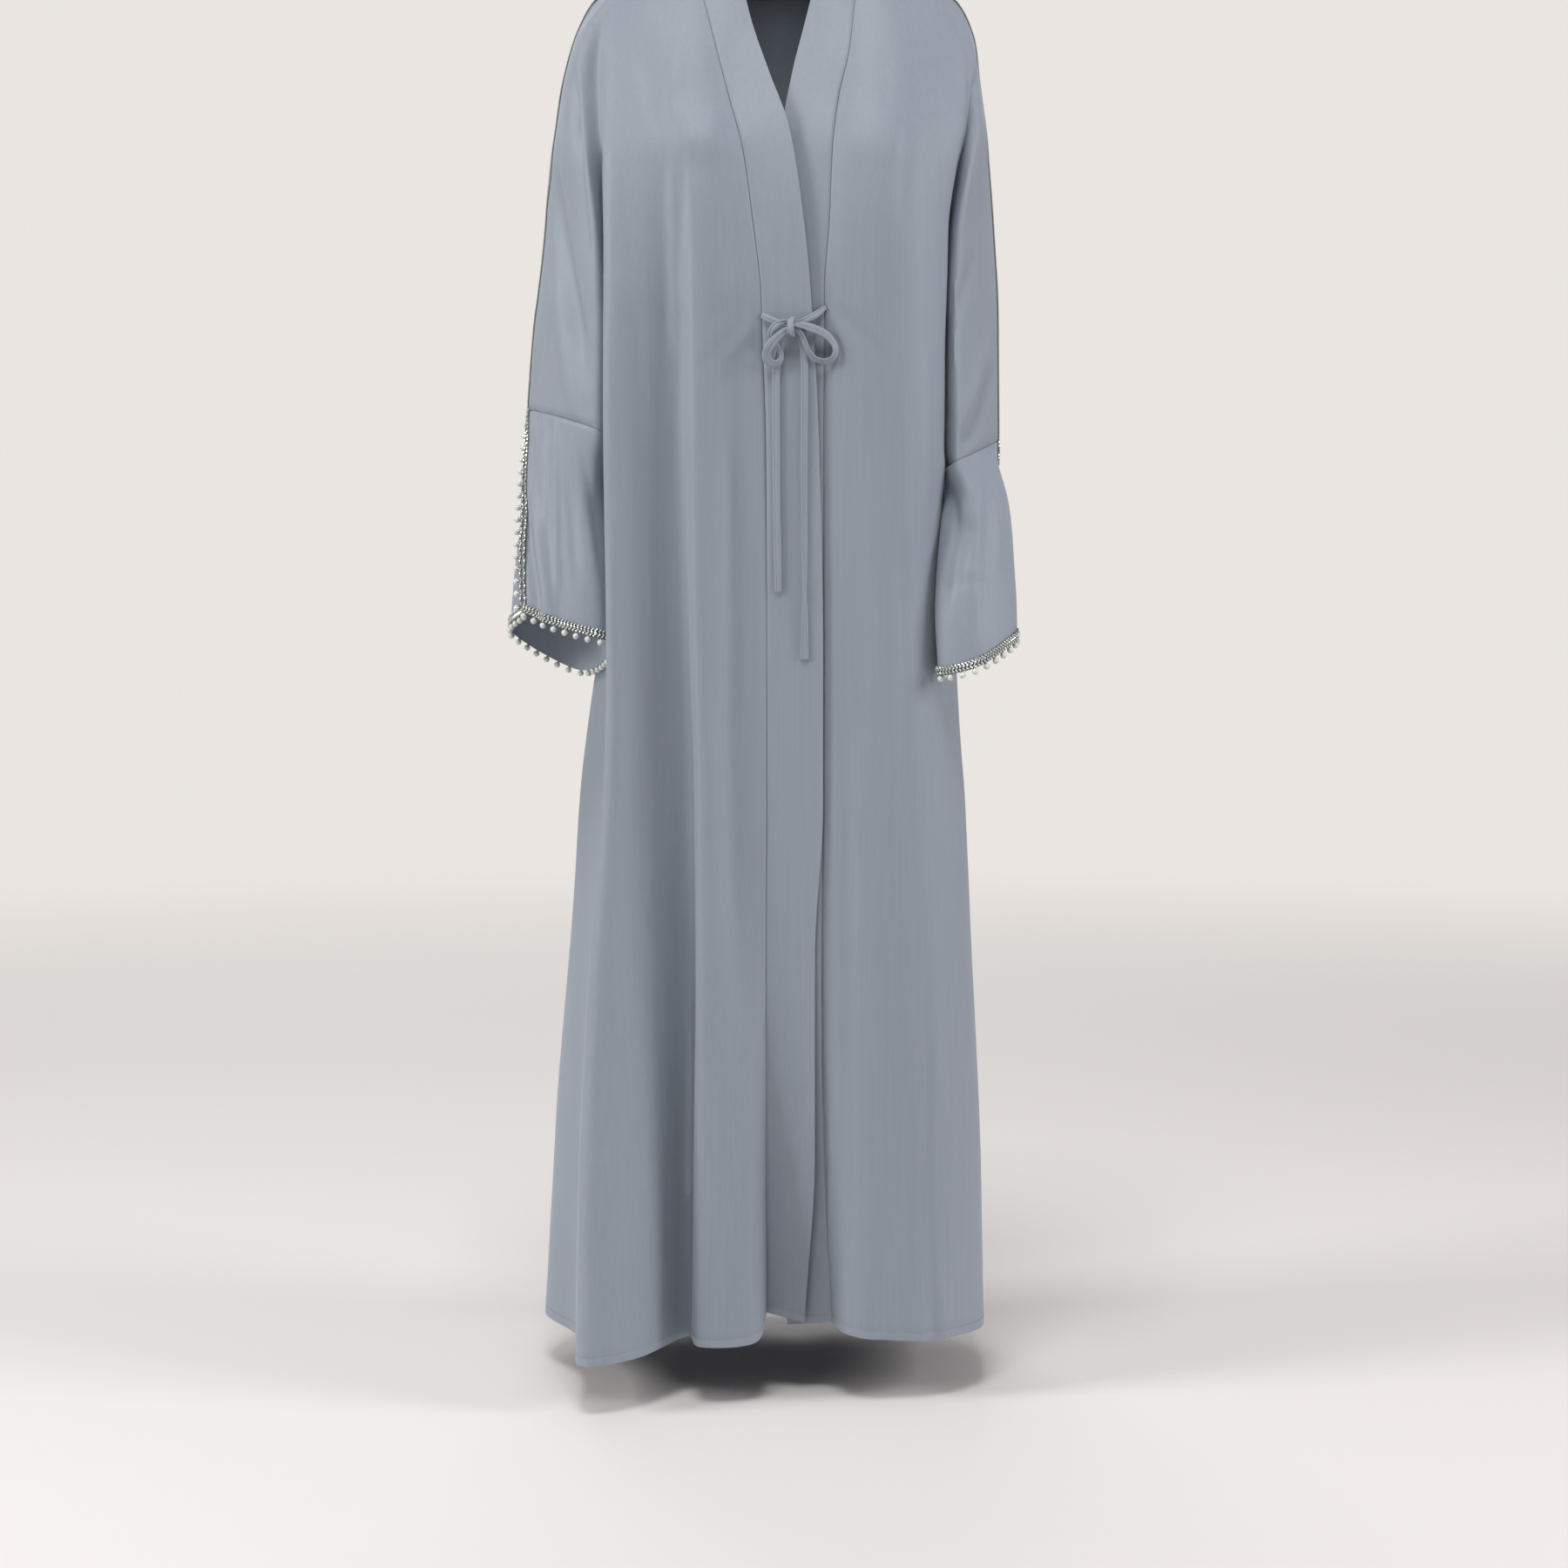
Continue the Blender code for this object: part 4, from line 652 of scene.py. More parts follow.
# Creases, by region and face. Columns: depth (out of the cloth is positive), half width left of the
# path and right of it going down, then the path as points of (across, level).
CREASES = {
    ("right_body", FRONT_FACE): (
        (3.2, 40, 36, (-44, 188), (-76, 186), (-112, 190)),
        (3.5, 13, 13, (-101, 170), (-99, 250), (-97, 330), (-95, 430)),
        (-2.2, 12, 15, (-47, 380), (-43, 568), (-47, 741), (-45, 914), (-38, 1100)),
        (1.8, 7, 6, (-165, 344), (-166, 439), (-166, 534), (-163, 656), (-162, 787)),
        (-1.8, 16, 20, (-135, 67), (-128, 121), (-111, 183), (-98, 225)),
        (1.5, 11, 14, (-94, 80), (-99, 103), (-103, 156), (-110, 195), (-112, 240)),
        (-1.3, 4, 7, (-15, 360), (-34, 373), (-60, 396), (-84, 428)),
        (0.9, 5, 5, (-16, 370), (-34, 387), (-52, 416), (-64, 452)),
        (-1.0, 4, 5, (-15, 350), (-30, 352), (-52, 360)),
        (1.2, 9, 12, (-112, 900), (-113, 1080), (-116, 1260), (-118, 1396)),
        (-1.5, 9, 10, (-168, 980), (-170, 1140), (-176, 1300), (-180, 1400)),
        (1.0, 8, 12, (-30, 1120), (-28, 1240), (-26, 1384)),
    ),
    ("right_arm", FRONT_FACE): (
        (4.0, 8, 12, (-226, 300), (-219, 360), (-209, 420), (-199, 478)),
        (-9.0, 13, 10, (-226, 185), (-219, 252), (-209, 312), (-196, 380), (-184, 440)),
        (-3.2, 9, 4, (-204, 95), (-195, 165), (-191, 235), (-185, 290), (-176, 325)),
        (1.4, 9, 9, (-208, 120), (-208, 190), (-206, 240)),
        (-1.2, 7, 9, (-236, 350), (-237, 400), (-238, 456)),
        (1.2, 4, 5, (-176, 436), (-196, 446), (-214, 452)),
    ),
    ("right_lower", FRONT_FACE): (
        (-4.0, 10, 7, (-252, 530), (-250, 570), (-246, 605), (-241, 640), (-238, 690)),
        (4.0, 7, 14, (-244, 535), (-240, 590), (-232, 640), (-226, 690)),
        (2.6, 4, 7, (-223, 460), (-222, 540), (-221, 600), (-219, 665)),
        (1.6, 6, 6, (-236, 480), (-234, 530), (-230, 580)),
        (-2.6, 8, 8, (-196, 478), (-188, 526), (-180, 575), (-172, 640)),
        (-1.6, 7, 9, (-209, 470), (-207, 520), (-203, 580), (-198, 650)),
    ),
    ("left_body", FRONT_FACE): (
        (-1.6, 5, 8, (52, 349), (73, 372), (99, 396), (118, 424)),
        (-1.3, 5, 6, (52, 362), (62, 396), (69, 448)),
        (1.1, 6, 6, (55, 356), (70, 386), (84, 424), (90, 470)),
        (1.0, 4, 6, (53, 343), (74, 356), (104, 366)),
        (-1.8, 8, 12, (142, 1180), (142, 1267), (141, 1311), (143, 1392)),
        (-2.0, 8, 10, (166, 1130), (167, 1251), (170, 1316), (172, 1396)),
        (1.4, 12, 14, (97, 520), (99, 700), (102, 900), (104, 1100), (102, 1300)),
        (-1.4, 13, 15, (122, 470), (124, 640), (128, 800), (130, 980)),
        (-1.2, 10, 13, (72, 600), (72, 820), (74, 1040), (72, 1240)),
        (0.8, 16, 15, (124, 70), (124, 110), (120, 170), (114, 240)),
        (-1.4, 12, 15, (138, 90), (134, 150), (126, 220), (124, 300)),
        (1.2, 7, 7, (151, 380), (152, 480), (150, 590)), (1.6, 7, 7, (168, 495), (168, 525), (167.5, 548)),
    ),
    ("left_arm", FRONT_FACE): (
        (-3.0, 5, 8, (201, 84), (204, 112), (197, 143), (188, 178), (175, 248)),
        (-2.0, 4, 6, (194, 84), (193, 107), (187, 143), (180, 187), (172, 254)),
        (2.0, 8, 9, (207, 130), (208, 180), (207, 264), (208, 345)),
        (-7.0, 15, 5, (225, 405), (214, 444), (199, 478), (181, 512)),
        (3.0, 8, 8, (214, 384), (202, 430), (184, 472)),
        (-3.0, 7, 9, (202, 292), (191, 327), (182, 356), (175, 388)),
    ),
    ("left_lower", FRONT_FACE): (
        (5.0, 13, 13, (180, 505), (187, 538), (195, 580)),
        (2.6, 8, 9, (206, 506), (203, 534), (200, 568), (195, 612), (190, 660)),
        (2.4, 6, 7, (219, 524), (222, 570), (223, 625)),
        (-2.0, 6, 7, (212, 530), (212, 570), (210, 620), (208, 690)),
        (-1.8, 5, 5, (164, 634), (190, 626), (219, 632)),
        (-2.2, 7, 8, (186, 512), (184, 560), (178, 610), (172, 668)),
    ),
    ("back_body", BACK_FACE): (
        (-3.7, 16, 20, (-6, 150), (-4, 260), (-3, 420), (-5, 600), (-8, 800)),
        (3.1, 14, 18, (40, 60), (46, 140), (50, 260), (48, 400), (50, 560)),
        (2.7, 15, 18, (-44, 70), (-52, 150), (-58, 290), (-60, 460)),
        (-3.1, 12, 15, (112, 60), (106, 130), (96, 220), (90, 340), (88, 480)),
        (-3.1, 13, 14, (-118, 70), (-110, 150), (-98, 250), (-96, 380), (-100, 520)),
        (2.7, 9, 11, (140, 120), (136, 220), (132, 340), (134, 500)),
        (2.5, 9, 10, (-144, 110), (-138, 230), (-133, 370), (-136, 520)),
        (-2.5, 12, 12, (20, 640), (22, 860), (18, 1080), (16, 1300), (15, 1402)),
        (-2.4, 11, 13, (-118, 620), (-122, 820), (-126, 1060), (-128, 1280)),
        (-2.5, 10, 12, (72, 580), (78, 800), (86, 1040), (90, 1310)),
        (2.0, 12, 12, (118, 700), (124, 900), (134, 1150), (140, 1400)),
    ),
    ("right_back_arm", BACK_FACE): (
        (-3.9, 7, 9, (-204, 96), (-199, 140), (-190, 200), (-182, 262)),
        (2.7, 8, 9, (-214, 110), (-213, 190), (-209, 270), (-206, 350)),
        (-3.3, 7, 8, (-210, 300), (-202, 350), (-192, 410), (-182, 470)),
        (2.1, 6, 7, (-226, 330), (-221, 390), (-212, 448)),
    ),
    ("left_back_arm", BACK_FACE): (
        (-3.9, 6, 9, (196, 90), (198, 130), (190, 190), (178, 250)),
        (2.7, 8, 9, (209, 116), (210, 200), (207, 290), (206, 372)),
        (-3.3, 7, 8, (208, 330), (200, 380), (190, 440), (180, 486)),
        (2.1, 5, 7, (220, 360), (216, 420), (208, 474)),
    ),
    ("right_lower", BACK_FACE): (
        (-2.0, 7, 9, (-205, 500), (-204, 560), (-198, 630), (-194, 690)),
        (1.8, 8, 9, (-226, 494), (-230, 560), (-232, 640), (-234, 694)),
        (-1.4, 6, 8, (-248, 510), (-254, 570), (-258, 640)),
    ),
    ("left_lower", BACK_FACE): (
        (-1.8, 7, 8, (192, 520), (190, 580), (186, 640), (184, 700)),
        (1.6, 7, 8, (216, 514), (218, 590), (220, 660), (222, 694)),
    ),
}

# Pinched gathers below the elbow seam, by region and face: depth, half width, start, end.
GATHERS = {
    ("right_lower", FRONT_FACE): (
        (2.0, 3.6, (-246, 456), (-247, 484)), (-2.2, 3.4, (-240, 458), (-242, 490)),
        (1.8, 3.6, (-234, 460), (-235, 486)), (-2.0, 3.4, (-228, 462), (-228, 494)),
        (2.2, 3.4, (-222, 464), (-221, 500)), (-1.6, 3.4, (-216, 467), (-213, 494)),
    ),
    ("right_lower", BACK_FACE): (
        (1.8, 3.8, (-244, 460), (-246, 488)), (-1.8, 3.6, (-237, 464), (-240, 494)),
        (1.6, 3.8, (-229, 468), (-231, 496)),
    ),
    ("left_lower", FRONT_FACE): (
        (1.2, 3.4, (222, 488), (224, 514)), (-1.4, 3.4, (215, 493), (216, 520)),
        (1.0, 3.4, (208, 498), (208, 524)),
    ),
    ("left_lower", BACK_FACE): (
        (1.2, 3.6, (222, 490), (224, 516)), (-1.2, 3.6, (214, 496), (215, 522)),
    ),
}

# Share of a crease's path over which it fades in, and again out; its path keeps every fourth point.
CREASE_FADE = 0.3
FOLD_DETAIL = 4
# A crease shows where the cloth faces its way: it starts at this tilt and is full this much further.
TILT_START = -0.15
TILT_SPAN = 0.35


def fold_height(across, level, depth, left_width, right_width, path):
    """Height of one crease over the points: a soft ridge or trough that fades at both ends."""
    line = Section([(x, 0.0, z) for x, z in path]).line[::FOLD_DETAIL, (0, 2)]
    places = np.stack([across, level], axis=-1)
    run = distances_along(line)
    nearest = np.full(len(places), 1e9)
    side, share = np.zeros(len(places)), np.zeros(len(places))
    for start, end, before, step in zip(line, line[1:], run, np.linalg.norm(np.diff(line, axis=0), axis=1)):
        way = (end - start) / step
        along = np.clip((places - start) @ way, 0, step)
        off = places - start - along[:, None] * way
        far = np.hypot(off[:, 0], off[:, 1])
        closer = far < nearest
        nearest = np.where(closer, far, nearest)
        side = np.where(closer, off[:, 0] * way[1] - off[:, 1] * way[0], side)
        share = np.where(closer, (before + along) / run[-1], share)
    width = np.where(side < 0, left_width, right_width)
    height = np.cos(np.clip(nearest / width, 0, 1) * math.pi / 2) ** 2
    return depth * height * eased(share / CREASE_FADE) * eased((1 - share) / CREASE_FADE)


def add_crease(cloth, shift, region, face, depth, left_width, right_width, path):
    """Add one crease to the shift of the region's points near it."""
    numbers = cloth.regions[region]
    places = cloth.points[numbers][:, (0, 2)] * (1, -1)
    reach = max(left_width, right_width)
    inside = (places > np.min(path, axis=0) - reach) & (places < np.max(path, axis=0) + reach)
    near = np.all(inside, axis=1)
    numbers, places = numbers[near], places[near]
    if len(numbers):
        faces_out = eased((cloth.normals[numbers, 1] * face - TILT_START) / TILT_SPAN)
        height = fold_height(places[:, 0], places[:, 1], depth, left_width, right_width, path)
        shift[numbers] += height * faces_out


def crease_shift(cloth):
    """How far every point of the cloth is moved by the creases, seams, hem and slack of the cloth."""
    shift = np.zeros(len(cloth.points))
    for (region, face), rows in CREASES.items():
        for depth, left_width, right_width, *path in rows:
            add_crease(cloth, shift, region, face, depth, left_width, right_width, path)
    for (region, face), rows in GATHERS.items():
        for depth, half_width, *ends in rows:
            add_crease(cloth, shift, region, face, depth, half_width, half_width, ends)
    for k, (x, y, z) in enumerate(cloth.points):
        shift[k] += sum(height * noise.noise(Vector((x / across + start, y / across, z / down)))
                        for height, across, down, start in SLACK)
    for side in (RIGHT, LEFT):
        skirt, back_skirt, elbow, back_elbow, strip = (
            cloth.grids[side, name] for name in ("skirt", "back_skirt", "elbow", "back_elbow", "strip"))
        for rows in (skirt, back_skirt):
            shift[rows[STITCH_ROW]] -= STITCH_SINK
            shift[rows[STITCH_ROW - 1]] += HEM_PUFF
            shift[rows[STITCH_ROW + 1]] += HEM_PUFF
        shift[strip[BAND_STITCH_ROW]] -= STITCH_SINK
        for seam in (strip[:, 0], skirt[:, -1], elbow[-1], back_elbow[-1], elbow[:, 0]):
            shift[seam] = -SEAM_SINK
    return shift


# ---- Meshes ----


def add_mesh(name, verts, faces, material, smooth=True, sharp=76.0):
    """One piece from points in millimetres, riding on the cloak."""
    mesh = bpy.data.meshes.new(name)
    mesh.from_pydata((np.asarray(verts) * MM).tolist(), [], [list(map(int, face)) for face in faces])
    mesh.validate()
    if smooth:
        mesh.shade_smooth()
        mesh.set_sharp_from_angle(angle=math.radians(sharp))
    mesh.materials.append(material)
    piece = bpy.data.objects.new(name, mesh)
    bpy.context.scene.collection.objects.link(piece)
    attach(piece, "root")
    return piece


def make_shell(cloth, panel):
    """A thin shell on the panel: outer and inner face, joined round its edges."""
    quads = cloth.quads[panel]
    used = np.unique(quads)
    ring = np.searchsorted(used, quads)
    count = len(used)
    points, normals = cloth.points[used], cloth.normals[used]
    verts = np.vstack([points + normals * SHELL_OUTER, points + normals * SHELL_INNER])
    starts, ends = ring.reshape(-1), np.roll(ring, -1, axis=1).reshape(-1)
    alone = ~np.isin(starts * count + ends, ends * count + starts)
    starts, ends = starts[alone], ends[alone]
    walls = np.stack([ends, starts, starts + count, ends + count], axis=-1)
    faces = np.vstack([ring, ring[:, ::-1] + count, walls])
    shell = add_mesh(panel + "_crepe", verts, faces, FINISH["crepe"])
    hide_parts(panel)
    return shell


def rod_faces(count, rings):
    """Faces between rings of points that follow each other, with both ends shut."""
    last = (rings - 1) * count
    walls = []
    for low in range(0, last, count):
        for k in range(count):
            n = (k + 1) % count
            walls.append((low + k, low + n, low + count + n, low + count + k))
    return walls + [tuple(range(count))[::-1], tuple(range(last, last + count))]


class Heap:
    """Many small shapes that become one mesh."""

    SHARP = 50.0

    def __init__(self):
        self.verts, self.faces, self.count = [], [], 0

    def add(self, verts, faces):
        self.verts.append(np.asarray(verts, float))
        self.faces += [[k + self.count for k in face] for face in faces]
        self.count += len(verts)

    def spread(self, shape, origins, axes, sizes):
        """The shape at every origin: axes are its own x, y and z there, and sizes scale it."""
        verts, faces = shape
        for origin, own_axes, size in zip(origins, axes, sizes):
            self.add(origin + (verts * size) @ own_axes, faces)

    def piece(self, name, finish):
        """One mesh in the finish; stones keep their flat facets."""
        verts = np.vstack(self.verts)
        return add_mesh(name, verts, self.faces, FINISH[finish], finish != "stone", self.SHARP)


def turned(profile, sides):
    """A shape turned about its own z axis from (radius, height) pairs; a radius of 0 closes it."""
    verts, faces, rings = [], [], []
    for radius, height in profile:
        if radius == 0:
            rings.append([len(verts)])
            verts.append((0.0, 0.0, height))
            continue
        rings.append(list(range(len(verts), len(verts) + sides)))
        angles = [2 * math.pi * k / sides for k in range(sides)]
        verts += [(radius * math.cos(a), radius * math.sin(a), height) for a in angles]
    for low, high in zip(rings, rings[1:]):
        for k in range(sides):
            n = (k + 1) % sides
            if len(low) == 1:
                faces.append((low[0], high[n], high[k]))
            elif len(high) == 1:
                faces.append((low[k], low[n], high[0]))
            else:
                faces.append((low[k], low[n], high[n], high[k]))
    return np.array(verts), faces


def lying(shape, sizes=(1, 1, 1)):
    """The same shape with its own z laid along x, then scaled."""
    verts, faces = shape
    return verts[:, (2, 1, 0)] * (1, 1, -1) * sizes, faces


def scaled(shape, size):
    return shape[0] * size, shape[1]


# ---- Stone braids, pearls and stitches ----


class Edge:
    """A line on the cloth, with the way along it, across it and out of the cloth at every place."""

    STRIP_STEP = 2.5

    def __init__(self, points, across, out):
        self.points, self.across, self.out = points, across, out
        self.run = distances_along(points)
        self.along = unit(np.gradient(points, self.run, axis=0))
        self.length = self.run[-1]

    def read(self, values, distances):
        return np.stack([np.interp(distances, self.run, values[:, k]) for k in range(3)], axis=-1)

    def frames(self, distances):
        """Place, and the ways along, across and out of the cloth, at the distances."""
        along = unit(self.read(self.along, distances))
        out = self.read(self.out, distances)
        out = unit(out - along * np.sum(out * along, axis=1, keepdims=True))
        across = np.cross(out, along)
        across *= np.sign(np.sum(across * self.read(self.across, distances), axis=1, keepdims=True))
        return self.read(self.points, distances), along, across, out

    def strip(self, heap, profile, start, end):
        """A ribbon of the closed profile of (across, out) pairs, with its ends shut."""
        distances = np.linspace(start, end, max(2, int((end - start) / self.STRIP_STEP)) + 1)
        place, _, across, out = self.frames(distances)
        verts = np.stack([place + across * a + out * h for a, h in profile], axis=1).reshape(-1, 3)
        heap.add(verts, rod_faces(len(profile), len(distances)))

    def set_row(self, heap, shape, distances, across_by, out_by, sizes=1.0, slopes=0.0):
        """Shapes that stand on the cloth along the line; a slope leans a shape across the line."""
        place, along, across, out = self.frames(distances)
        origins = place + across * np.broadcast_to(across_by, len(place))[:, None] + out * out_by
        way = unit(along + across * np.broadcast_to(slopes, len(place))[:, None])
        axes = np.stack([way, np.cross(out, way), out], axis=1)
        heap.spread(shape, origins, axes, np.broadcast_to(sizes, len(origins)))

    def hang_row(self, heap, shape, distances, drop, out_by):
        """Shapes that hang off the edge, their own z pointing away from the cloth."""
        place, _, across, out = self.frames(distances)
        axes = np.stack([np.cross(out, -across), out, -across], axis=1)
        heap.spread(shape, place - across * drop + out * out_by, axes, np.ones(len(place)))


def cloth_edge(cloth, line):
    """The edge on a line of the cloth's points."""
    points, normals = cloth.points[line], cloth.normals[line]
    return Edge(points, np.cross(normals, unit(np.gradient(points, axis=0))), normals)


def even_row(start, end, pitch, offset=0.0):
    """Places a pitch apart, centred between the start, moved on by the offset, and the end."""
    count = int((end - start - offset) / pitch)
    spare = (end - start - offset) - count * pitch
    return start + offset + spare / 2 + pitch * np.arange(count + 1)


STONE = turned(((0, -0.35), (0.55, -0.35), (1.0, 0.0), (1.0, 0.12), (0.56, 0.52), (0, 0.52)), 8)
OBLONG = lying(turned(((0, -1.0), (0.62, -0.84), (1.0, -0.4), (1.0, 0.4), (0.62, 0.84), (0, 1.0)), 6),
               (1.95, 0.98, 0.85))
BEAD = turned(((0, -1.0), (0.7, -0.7), (1.0, 0.0), (0.7, 0.7), (0, 1.0)), 6)
PEARL_RADIUS = 3.2
PEARL_TURNS = [math.pi * k / 12 for k in range(13)]
PEARL = scaled(turned([(math.sin(turn) if 0 < turn < math.pi else 0, -math.cos(turn))
                       for turn in PEARL_TURNS], 20), PEARL_RADIUS)
PEARL_CAP = turned(((0, -1.6), (0.75, -1.5), (0.9, -0.9), (1.5, 0.1), (1.85, 0.75), (1.7, 0.85), (1.2, 0.4),
                    (0, 0.2)), 12)
PEARL_LINK = turned(((0, -1.2), (0.5, -1.2), (0.62, -0.6), (0.5, 0.0), (0.62, 0.6), (0.5, 1.2), (0, 1.2)), 8)
PEARL_PITCH = 12.6
PEARL_DROP = 3.5
# How far below the edge, and how far out of the cloth: the pearl, its cap and its link.
PEARL_PLACE = (PEARL_DROP, 0.8)
CAP_PLACE = (PEARL_DROP - PEARL_RADIUS + 0.3, 1.0)
LINK_PLACE = (0.4, 1.4)

# Sections of the braids' ground: (across, out) from the edge or the seam.
CUFF_PROFILE = ((0.1, 1.0), (0.15, 1.75), (0.6, 2.1), (8.4, 2.1), (8.85, 1.75), (8.9, 1.0))
SLIT_PROFILE = ((0.2, 0.9), (0.25, 1.6), (0.7, 1.9), (7.9, 1.9), (8.3, 1.6), (8.35, 0.9))
OVERARM_PROFILE = ((-2.2, 0.95), (-2.15, 1.6), (-1.8, 1.95), (1.8, 1.95), (2.15, 1.6), (2.2, 0.95))

# Braids. Heights are out of the cloth; a gap is between a row's end and the end of its line.
BRAID_MIDDLE = 4.5
OBLONG_HEIGHT = 2.6
LOOP_GAP = 1.3
LOOP_SWELL = 1.4
LOOP_BEAD_HEIGHT = 2.5
# Rows of leaves: across, lean, and share of the pitch that the row is moved on by.
LEAF_ROWS = ((1.9, 1.0, 0.0), (4.6, -1.3, 0.45), (7.3, 0.9, 0.15))
LEAF_PITCH = 3.7
LEAF_GAP = 1.8
LEAF_SIZE = 0.95
LEAF_WAVE = 1.7
LEAF_STRAY = 0.3
LEAF_SWAY = 0.5
# Rows of one shape: gap, pitch, across, height, size.
EDGE_BEADS = (1.2, 2.9, 0.9, 2.2, 0.72)
LEAF_BEADS = (1.5, LEAF_PITCH * 1.5, 8.3, 2.3, 0.8)
OVERARM_STONES = (1.6, 2.9, 0.0, 2.35, 1.12)
OVERARM_BEADS = ((1.2, 1.45, -1.65, 2.0, 0.6), (1.2, 1.45, 1.65, 2.0, 0.6))
# Where a braid starts and ends before the end of its line.
SLIT_ENDS = (0.4, 2.5)
CUFF_ENDS = (0.1, 0.1)
OVERARM_ENDS = (0.5, 0.5)
LOOP_ENDS = (1.0, 2.0)
PEARL_GAP = 5.0


def set_plain_row(edge, heap, shape, start, end, row):
    """One row of the same shape between two places of the line."""
    gap, pitch, across, height, size = row
    edge.set_row(heap, shape, even_row(start + gap, end - gap, pitch), across, height, size)


def set_loops(edge, stones, beads, start, end):
    """Two rails of oblong stones that part and meet again, one loop to a pearl."""
    count = max(1, round((end - start) / PEARL_PITCH))
    pitch = (end - start) / count
    row = start + pitch / 6 + np.arange(3 * count) * pitch / 3
    turn = math.pi * (row - start) / pitch
    for way in (-1, 1):
        apart = way * (LOOP_GAP + LOOP_SWELL * np.abs(np.sin(turn)))
        lean = way * LOOP_SWELL * math.pi / pitch * np.cos(turn) * np.sign(np.sin(turn))
        edge.set_row(stones, OBLONG, row, BRAID_MIDDLE + apart, OBLONG_HEIGHT, slopes=lean)
    edge.set_row(beads, BEAD, start + np.arange(count + 1) * pitch, BRAID_MIDDLE, LOOP_BEAD_HEIGHT)
    return start + np.arange(1, count) * pitch


def set_leaves(edge, stones, beads, start, end):
    """Three rows of oblong stones that lean to and fro like the leaves of a twig."""
    for across, lean, moved in LEAF_ROWS:
        row = even_row(start + LEAF_GAP, end - LEAF_GAP, LEAF_PITCH, moved * LEAF_PITCH)
        uneven = np.sin(row * LEAF_WAVE + across)
        height = OBLONG_HEIGHT + LEAF_STRAY * uneven[:, None]
        slopes = lean + LEAF_SWAY * uneven
        edge.set_row(stones, OBLONG, row, across + LEAF_STRAY * uneven, height, LEAF_SIZE, slopes)
    set_plain_row(edge, beads, BEAD, start, end, LEAF_BEADS)


def finish_braid(side, node, pieces):
    """The pieces of a braid, from (name, heap, finish), in place of the part's braid, which is hidden."""
    made = [heap.piece(side + "_" + name, finish) for name, heap, finish in pieces]
    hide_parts(side + "_" + node)
    return made


def make_cuff_braid(cloth, side):
    """Stones, beads and pearls along both edges of the slit and round the cuff."""
    flare = cloth.grids[side, "flare"]
    base, stones, beads, pearls, caps = (Heap() for _ in range(5))
    for edge_line, inner_line, slit, hangs in (
            (flare[:, 0], flare[:, TRIM_SPANS], True, True),
            (flare[-1], flare[-1 - TRIM_SPANS], False, True),
            (flare[:, -1], flare[:, -1 - TRIM_SPANS], True, False)):
        points = cloth.points[edge_line]
        edge = Edge(points, cloth.points[inner_line] - points, cloth.normals[edge_line])
        before, after = SLIT_ENDS if slit else CUFF_ENDS
        start, end = before, edge.length - after
        edge.strip(base, SLIT_PROFILE if slit else CUFF_PROFILE, start, end)
        set_plain_row(edge, beads, BEAD, start, end, EDGE_BEADS)
        if slit:
            hung = np.append(set_loops(edge, stones, beads, start + LOOP_ENDS[0], end - LOOP_ENDS[1]), end)
        else:
            set_leaves(edge, stones, beads, start, end)
            hung = even_row(PEARL_GAP, edge.length - PEARL_GAP, PEARL_PITCH)
        if hangs:
            edge.hang_row(caps, PEARL_LINK, hung, *LINK_PLACE)
            edge.hang_row(caps, PEARL_CAP, hung, *CAP_PLACE)
            edge.hang_row(pearls, PEARL, hung, *PEARL_PLACE)
    return finish_braid(side, "cuff_braid", (
        ("cuff_braid_base", base, "braid_base"), ("cuff_stones", stones, "stone"),
        ("cuff_beads", beads, "silver"), ("cuff_pearls", pearls, "pearl"), ("pearl_caps", caps, "silver")))


def make_overarm_braid(cloth, side):
    """A narrow beaded braid on the shoulder seam and down the overarm seam to the slit."""
    chest, upper_arm, elbow = (cloth.grids[side, name] for name in ("chest", "upper_arm", "elbow"))
    edge = cloth_edge(cloth, np.concatenate([chest[0], upper_arm[0, 1:], upper_arm[1:, -1], elbow[1:, -1]]))
    base, stones, beads = Heap(), Heap(), Heap()
    edge.strip(base, OVERARM_PROFILE, OVERARM_ENDS[0], edge.length - OVERARM_ENDS[1])
    set_plain_row(edge, stones, STONE, 0, edge.length, OVERARM_STONES)
    for row in OVERARM_BEADS:
        set_plain_row(edge, beads, BEAD, 0, edge.length, row)
    return finish_braid(side, "overarm_braid", (
        ("overarm_braid_base", base, "braid_base"), ("overarm_stones", stones, "stone"),
        ("overarm_beads", beads, "silver")))


STITCH = lying(turned(((0, -1.3), (0.24, -1.1), (0.3, -0.4), (0.3, 0.4), (0.24, 1.1), (0, 1.3)), 6))
HEM_STITCHES = (1.0, 3.4, 0.0, SHELL_OUTER + 0.08, 1.0)


def make_hem_stitches(cloth):
    """One line of small stitches above the hem of the fronts, the back and the bands."""
    heap = Heap()
    for side in (RIGHT, LEFT):
        for name, row in (("skirt", STITCH_ROW), ("back_skirt", STITCH_ROW), ("strip", BAND_STITCH_ROW)):
            line = cloth.grids[side, name][row]
            edge = cloth_edge(cloth, line[np.append(True, np.diff(line) != 0)])
            set_plain_row(edge, heap, STITCH, 0, edge.length, HEM_STITCHES)
    stitches = heap.piece("hem_stitches", "thread")
    return stitches


# ---- Ties ----

